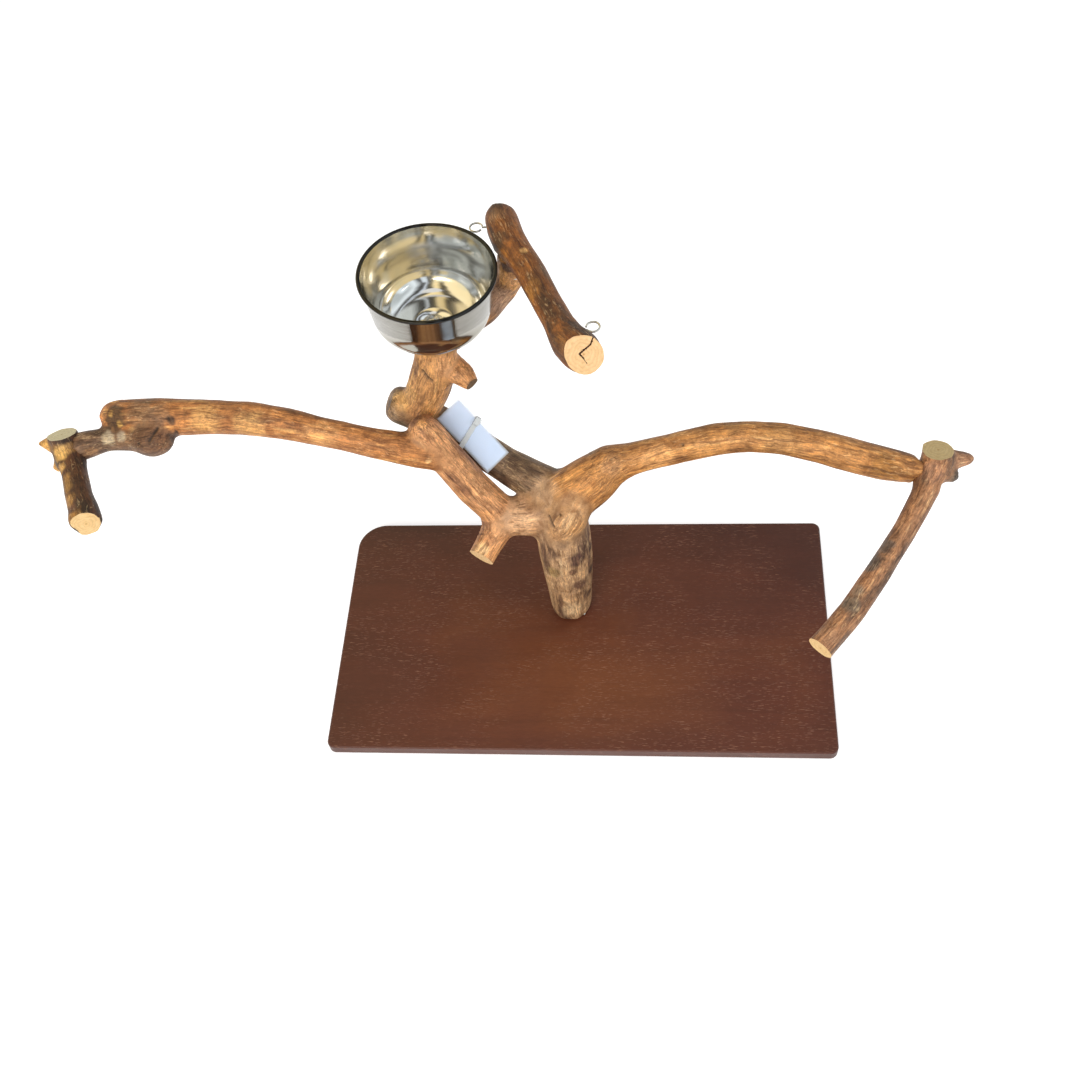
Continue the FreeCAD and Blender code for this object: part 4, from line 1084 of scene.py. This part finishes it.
def stained_board(settings):
    """Mahogany stain with open pores that run along the board, under a thin satin varnish."""
    material, tree, shader = finish_of("stained_board", {"Specular IOR Level": 0.36, "Coat Weight": 0.06,
                                                         "Coat Roughness": 0.3})
    spot = place_vector(tree)
    # Painted highlight and shade: the board is lighter and warmer round its front middle and darker towards its
    # ends; the cloud noise adds the stain's own variation.
    middle = vector_maths(tree, "SUBTRACT", spot, (0.0, -0.05, 0.0))
    middle = vector_maths(tree, "LENGTH", stretched(tree, middle, (3.4, 5.5, 0)))
    cloud = noise(tree, stretched(tree, spot, (7, 11, 7)), 1.0, 4, 0.5, 0.6)
    stain_and_painted_light = arithmetic(tree, "SUBTRACT", times(tree, cloud, 0.55),
                        times(tree, middle, 0.4))
    tone = ramp(tree, plus(tree, stain_and_painted_light, 0.5), [(0.2, tuple(settings.shade)), (0.5, tuple(settings.stain)),
                                                             (0.8, tuple(settings.warm))])
    band = noise(tree, stretched(tree, spot, (3, 60, 3)), 1.0, 5, 0.6, 0.8)
    tone = tinted(tree, tone, ramp(tree, band, [(0.3, grey(0.88)), (0.5, grey(1.0)), (0.7, grey(1.08))]))
    wander = vector_maths(tree, "ADD", spot, swirl_vector(tree, spot, 14, 0.006))
    pore = noise(tree, stretched(tree, wander, (150, 1500, 1500)), 1.0, 1, 0.5, 0.1)
    where = noise(tree, stretched(tree, spot, (12, 20, 12)), 1.0, 2, 0.5)
    open_pore = times(tree, spread(tree, pore, 0.63, 0.7), spread(tree, where, 0.3, 0.62))
    tone = blend(tree, times(tree, open_pore, 0.42), tone, tuple(settings.pore))
    fine = noise(tree, stretched(tree, spot, (160, 1500, 1500)), 1.0, 3, 0.6)
    tone = tinted(tree, tone, ramp(tree, fine, [(0.3, grey(0.88)), (0.5, grey(1.0)), (0.72, grey(1.12))]))
    tree.links.new(tone, shader.inputs["Base Color"])
    gloss = noise(tree, spot, 22, 3)
    tree.links.new(ramp(tree, gloss, [(0.3, grey(0.36)), (0.7, grey(0.5))]), shader.inputs["Roughness"])
    low = arithmetic(tree, "SUBTRACT", times(tree, fine, 0.5), open_pore)
    bump(tree, shader, low, 0.25 * MM, 0.6)
    return material


class STAND_OT_board(bpy.types.Operator):
    """The stained board and its rubber feet"""
    bl_idname = "stand.board"
    bl_label = "Board and feet"

    def execute(self, context):
        dress("base_board", stained_board(context.scene.stand_board))
        rubber, tree, shader = finish_of("foot_rubber", {"Roughness": 0.82, "Specular IOR Level": 0.3})
        grit = noise(tree, place_vector(tree), 900, 3, 0.6)
        tree.links.new(ramp(tree, grit, [(0.3, grey(0.012)), (0.7, grey(0.03))]), shader.inputs["Base Color"])
        bump(tree, shader, grit, 0.1 * MM, 0.5)
        dress("rubber_feet", rubber)
        return {"FINISHED"}


# ------------------------------------------------------------------ metal
class BowlSettings(bpy.types.PropertyGroup):
    steel: FloatVectorProperty(name="Steel", description="Colour of the polished steel",
                               default=(0.72, 0.7, 0.65), subtype="COLOR")
    polish: FloatProperty(name="Roughness", description="How dull the polished wall is", default=0.1, min=0,
                          max=1, subtype="FACTOR")
    facets: IntProperty(name="Facets", description="Facets round the bowl", default=160)


# The pressed bowl's profile in mm, from the middle of its floor outside, over the rolled rim, back inside.
BOWL_RIM = 60.0
BOWL_DEPTH = 62.0
BOWL_BEAD = 1.8
BOWL_TAPER = 5.0
BOWL_CORNER = 24.0
BOWL_WALL = 0.9
BOLT_HOLE = 3.08
BOWL_MARKS = (20, 20, 700)             # polishing marks, much finer up the bowl than round it
# Painted reflection and shade: the rolled rim and the outside wall are the same steel as the inside, painted this
# much darker; the rim stands in for the dark room that it reflects, the outside wall for its shade.
RIM_PAINTED_REFLECTION = (0.05, 0.05, 0.05)
OUTSIDE_PAINTED_SHADE = (0.52, 0.51, 0.47)


def arc(middle, radius, start, end, steps):
    turns = [math.radians(start + (end - start) * step / steps) for step in range(steps + 1)]
    return [(middle[0] + radius * math.cos(turn), middle[1] + radius * math.sin(turn)) for turn in turns]


def bowl_profile():
    bead = (BOWL_RIM - BOWL_BEAD, BOWL_DEPTH - BOWL_BEAD)
    corner = (bead[0] - BOWL_BEAD + BOWL_WALL - BOWL_TAPER - BOWL_CORNER, BOWL_CORNER)
    outside = [(BOLT_HOLE, 0), (20, 0)] + arc(corner, BOWL_CORNER, -90, -8, 16)
    over = arc(bead, BOWL_BEAD, -118, 172, 18)
    inside = arc(corner, BOWL_CORNER - BOWL_WALL, -8, -90, 16) + [(20, BOWL_WALL), (BOLT_HOLE, BOWL_WALL)]
    return [(radius * MM, height * MM) for radius, height in outside + over + inside + [(BOLT_HOLE, 0)]]


def polished_steel(name, colour, polish, scratch_axis):
    """Bright steel with faint polishing marks round its axis."""
    material, tree, shader = finish_of(name, {"Metallic": 1.0, "Base Color": (*colour, 1)})
    spot = place_vector(tree)
    marks = noise(tree, stretched(tree, spot, scratch_axis), 1.0, 4, 0.6)
    smear = noise(tree, spot, 34, 3, 0.5, 0.4)
    level = ramp(tree, plus(tree, times(tree, marks, 0.5), times(tree, smear, 0.5)),
                 [(0.35, grey(polish * 0.7)), (0.65, grey(polish * 1.7))])
    tree.links.new(level, shader.inputs["Roughness"])
    bump(tree, shader, marks, 0.02 * MM, 0.35)
    return material


class STAND_OT_bowl(bpy.types.Operator):
    """The polished steel food bowl with its bolt, washers and threaded insert"""
    bl_idname = "stand.bowl"
    bl_label = "Bowl"

    def execute(self, context):
        settings = context.scene.stand_bowl
        turn = next(joint for joint in frame["joints"] if joint["name"] == "bowl_turn")
        place = standing(Vector(turn["pos_m"]), Vector(turn["axis"]))
        finishes = [polished_steel(name, tuple(part * share for part, share in zip(settings.steel, shade)),
                                   settings.polish, BOWL_MARKS)
                    for name, shade in (("bowl_steel", (1, 1, 1)), ("bowl_rim_painted_reflection", RIM_PAINTED_REFLECTION),
                                        ("bowl_outside_painted_shade", OUTSIDE_PAINTED_SHADE))]
        mesh = mesh_from("food_bowl_round", lambda work: lathe(work, bowl_profile(), place, settings.facets))
        back = place.inverted()
        # Faces near the rolled rim take the steel with the painted dark reflection, faces of the outside wall the
        # steel with painted shade.
        for face in mesh.polygons:
            local = back @ face.center
            from_rim = min(math.hypot(local.x, local.y) / MM - BOWL_RIM, local.z / MM - BOWL_DEPTH)
            if from_rim > -2.2 * BOWL_BEAD:
                face.material_index = 1
            elif (back.to_3x3() @ face.normal).dot(Vector((local.x, local.y, -20 * MM))) > 0:
                face.material_index = 2
        piece = new_piece("food_bowl_round", mesh, finishes, "bowl")
        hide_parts("food_bowl")
        bright = polished_steel("bolt_steel", (0.62, 0.61, 0.59), 0.2, (300, 300, 300))
        dress("bowl_bolt", bright)
        dress("bowl_washer", bright)
        rubber, tree, shader = finish_of("seat_rubber", {"Roughness": 0.7})
        grit = noise(tree, place_vector(tree), 800, 3)
        tree.links.new(ramp(tree, grit, [(0.3, grey(0.02)), (0.7, grey(0.045))]), shader.inputs["Base Color"])
        dress("seat_washer", rubber)
        brass = polished_steel("insert_brass", (0.62, 0.42, 0.16), 0.3, (300, 300, 300))
        dress("threaded_insert", brass)
        return {"FINISHED"}


NAIL_PLACES = [(-25.5, 19.5, 19.5), (1.5, 19.5, 19.0)]         # small nails at the trunk's foot, in mm


class STAND_OT_fixings(bpy.types.Operator):
    """Zinc plated screws, the nails at the trunk's foot and the two toy eyes"""
    bl_idname = "stand.fixings"
    bl_label = "Screws, nails and toy eyes"

    def execute(self, context):
        zinc = polished_steel("zinc_steel", (0.55, 0.55, 0.53), 0.34, (200, 200, 200))
        for name in ("trunk_lag_screw", "lag_washer", "wood_screws", "dowel_screw"):
            dress(name, zinc)
        for number, spot in enumerate(NAIL_PLACES):
            place = standing(Vector(spot) * MM, Vector((0.25 - 0.5 * number, -0.6, 0.75)))
            nail = mesh_from("trunk_nail_%d" % number, lambda work: lathe(work, [
                (0, -6 * MM), (0.7 * MM, -5 * MM), (0.7 * MM, 0), (1.5 * MM, 0.1 * MM), (1.5 * MM, 0.6 * MM),
                (0.9 * MM, 0.9 * MM), (0, 1.0 * MM)], place, 24))
            new_piece("trunk_nail_%d" % number, nail, [zinc])
        wire = polished_steel("eye_steel", (0.55, 0.54, 0.5), 0.22, (300, 300, 300))
        dress("toy_eyes", wire)
        return {"FINISHED"}


# ------------------------------------------------------------------ hang tag
class TagSettings(bpy.types.PropertyGroup):
    card: FloatVectorProperty(name="Card", description="Colour of the blank card",
                              default=paint(206, 226, 255), subtype="COLOR")
    nylon: FloatVectorProperty(name="Nylon", description="Colour of the cable tie",
                               default=paint(214, 220, 222), subtype="COLOR")


class STAND_OT_tag(bpy.types.Operator):
    """The blank card in its clear sleeve, strapped on with a nylon cable tie"""
    bl_idname = "stand.tag"
    bl_label = "Hang tag"

    def execute(self, context):
        settings = context.scene.stand_tag
        card, tree, shader = finish_of("tag_card", {"Roughness": 0.55, "Specular IOR Level": 0.4})
        fibre = noise(tree, place_vector(tree), 700, 4, 0.6)
        light = tuple(settings.card)
        tree.links.new(ramp(tree, fibre, [(0.3, [part * 0.95 for part in light]), (0.7, light)]),
                       shader.inputs["Base Color"])
        dress("hang_tag", card)
        film, tree, shader = finish_of("sleeve_film", {"Base Color": (0.84, 0.92, 1.0, 1), "Roughness": 0.08,
                                                       "Alpha": 0.3, "IOR": 1.5})
        bump(tree, shader, noise(tree, place_vector(tree), 60, 3), 0.6 * MM, 0.5)
        dress("tag_sleeve", film)
        nylon, tree, shader = finish_of("tie_nylon",
                                        {"Roughness": 0.35, "Subsurface Weight": 0.2, "Alpha": 0.8,
                                         "Subsurface Radius": (0.004, 0.004, 0.004)})
        cloud = noise(tree, place_vector(tree), 240, 3)
        white = tuple(settings.nylon)
        tree.links.new(ramp(tree, cloud, [(0.3, [part * 0.9 for part in white]), (0.7, white)]),
                       shader.inputs["Base Color"])
        dress("cable_tie", nylon)
        return {"FINISHED"}


# ------------------------------------------------------------------ panel and registration
PIECE_OPERATORS = (STAND_OT_stage, STAND_OT_board, STAND_OT_wood, STAND_OT_bowl, STAND_OT_fixings,
                   STAND_OT_tag)
SETTINGS = (("stand_stage", StageSettings), ("stand_wood", WoodSettings), ("stand_board", BoardSettings),
            ("stand_bowl", BowlSettings), ("stand_tag", TagSettings))


class STAND_PT_sidebar(bpy.types.Panel):
    """Lists the stand's pieces and their settings"""
    bl_idname = "STAND_PT_sidebar"
    bl_label = "Play stand"
    bl_space_type = "VIEW_3D"
    bl_region_type = "UI"
    bl_category = "Play stand"

    def draw(self, context):
        for piece in PIECE_OPERATORS:
            self.layout.operator(piece.bl_idname)
        for attribute, kind in SETTINGS:
            group = getattr(context.scene, attribute)
            for name in kind.__annotations__:
                self.layout.prop(group, name)


def register():
    for kind in (*[kind for _, kind in SETTINGS], *PIECE_OPERATORS, STAND_PT_sidebar):
        bpy.utils.register_class(kind)
    for attribute, kind in SETTINGS:
        setattr(bpy.types.Scene, attribute, PointerProperty(type=kind))


def unregister():
    for attribute, _ in SETTINGS:
        delattr(bpy.types.Scene, attribute)
    for kind in (STAND_PT_sidebar, *reversed(PIECE_OPERATORS), *[kind for _, kind in reversed(SETTINGS)]):
        bpy.utils.unregister_class(kind)


def main():
    register()
    bpy.ops.stand.stage()
    bpy.ops.stand.board()
    bpy.ops.stand.wood()
    bpy.ops.stand.bowl()
    bpy.ops.stand.fixings()
    bpy.ops.stand.tag()


if __name__ == "__main__":
    main()
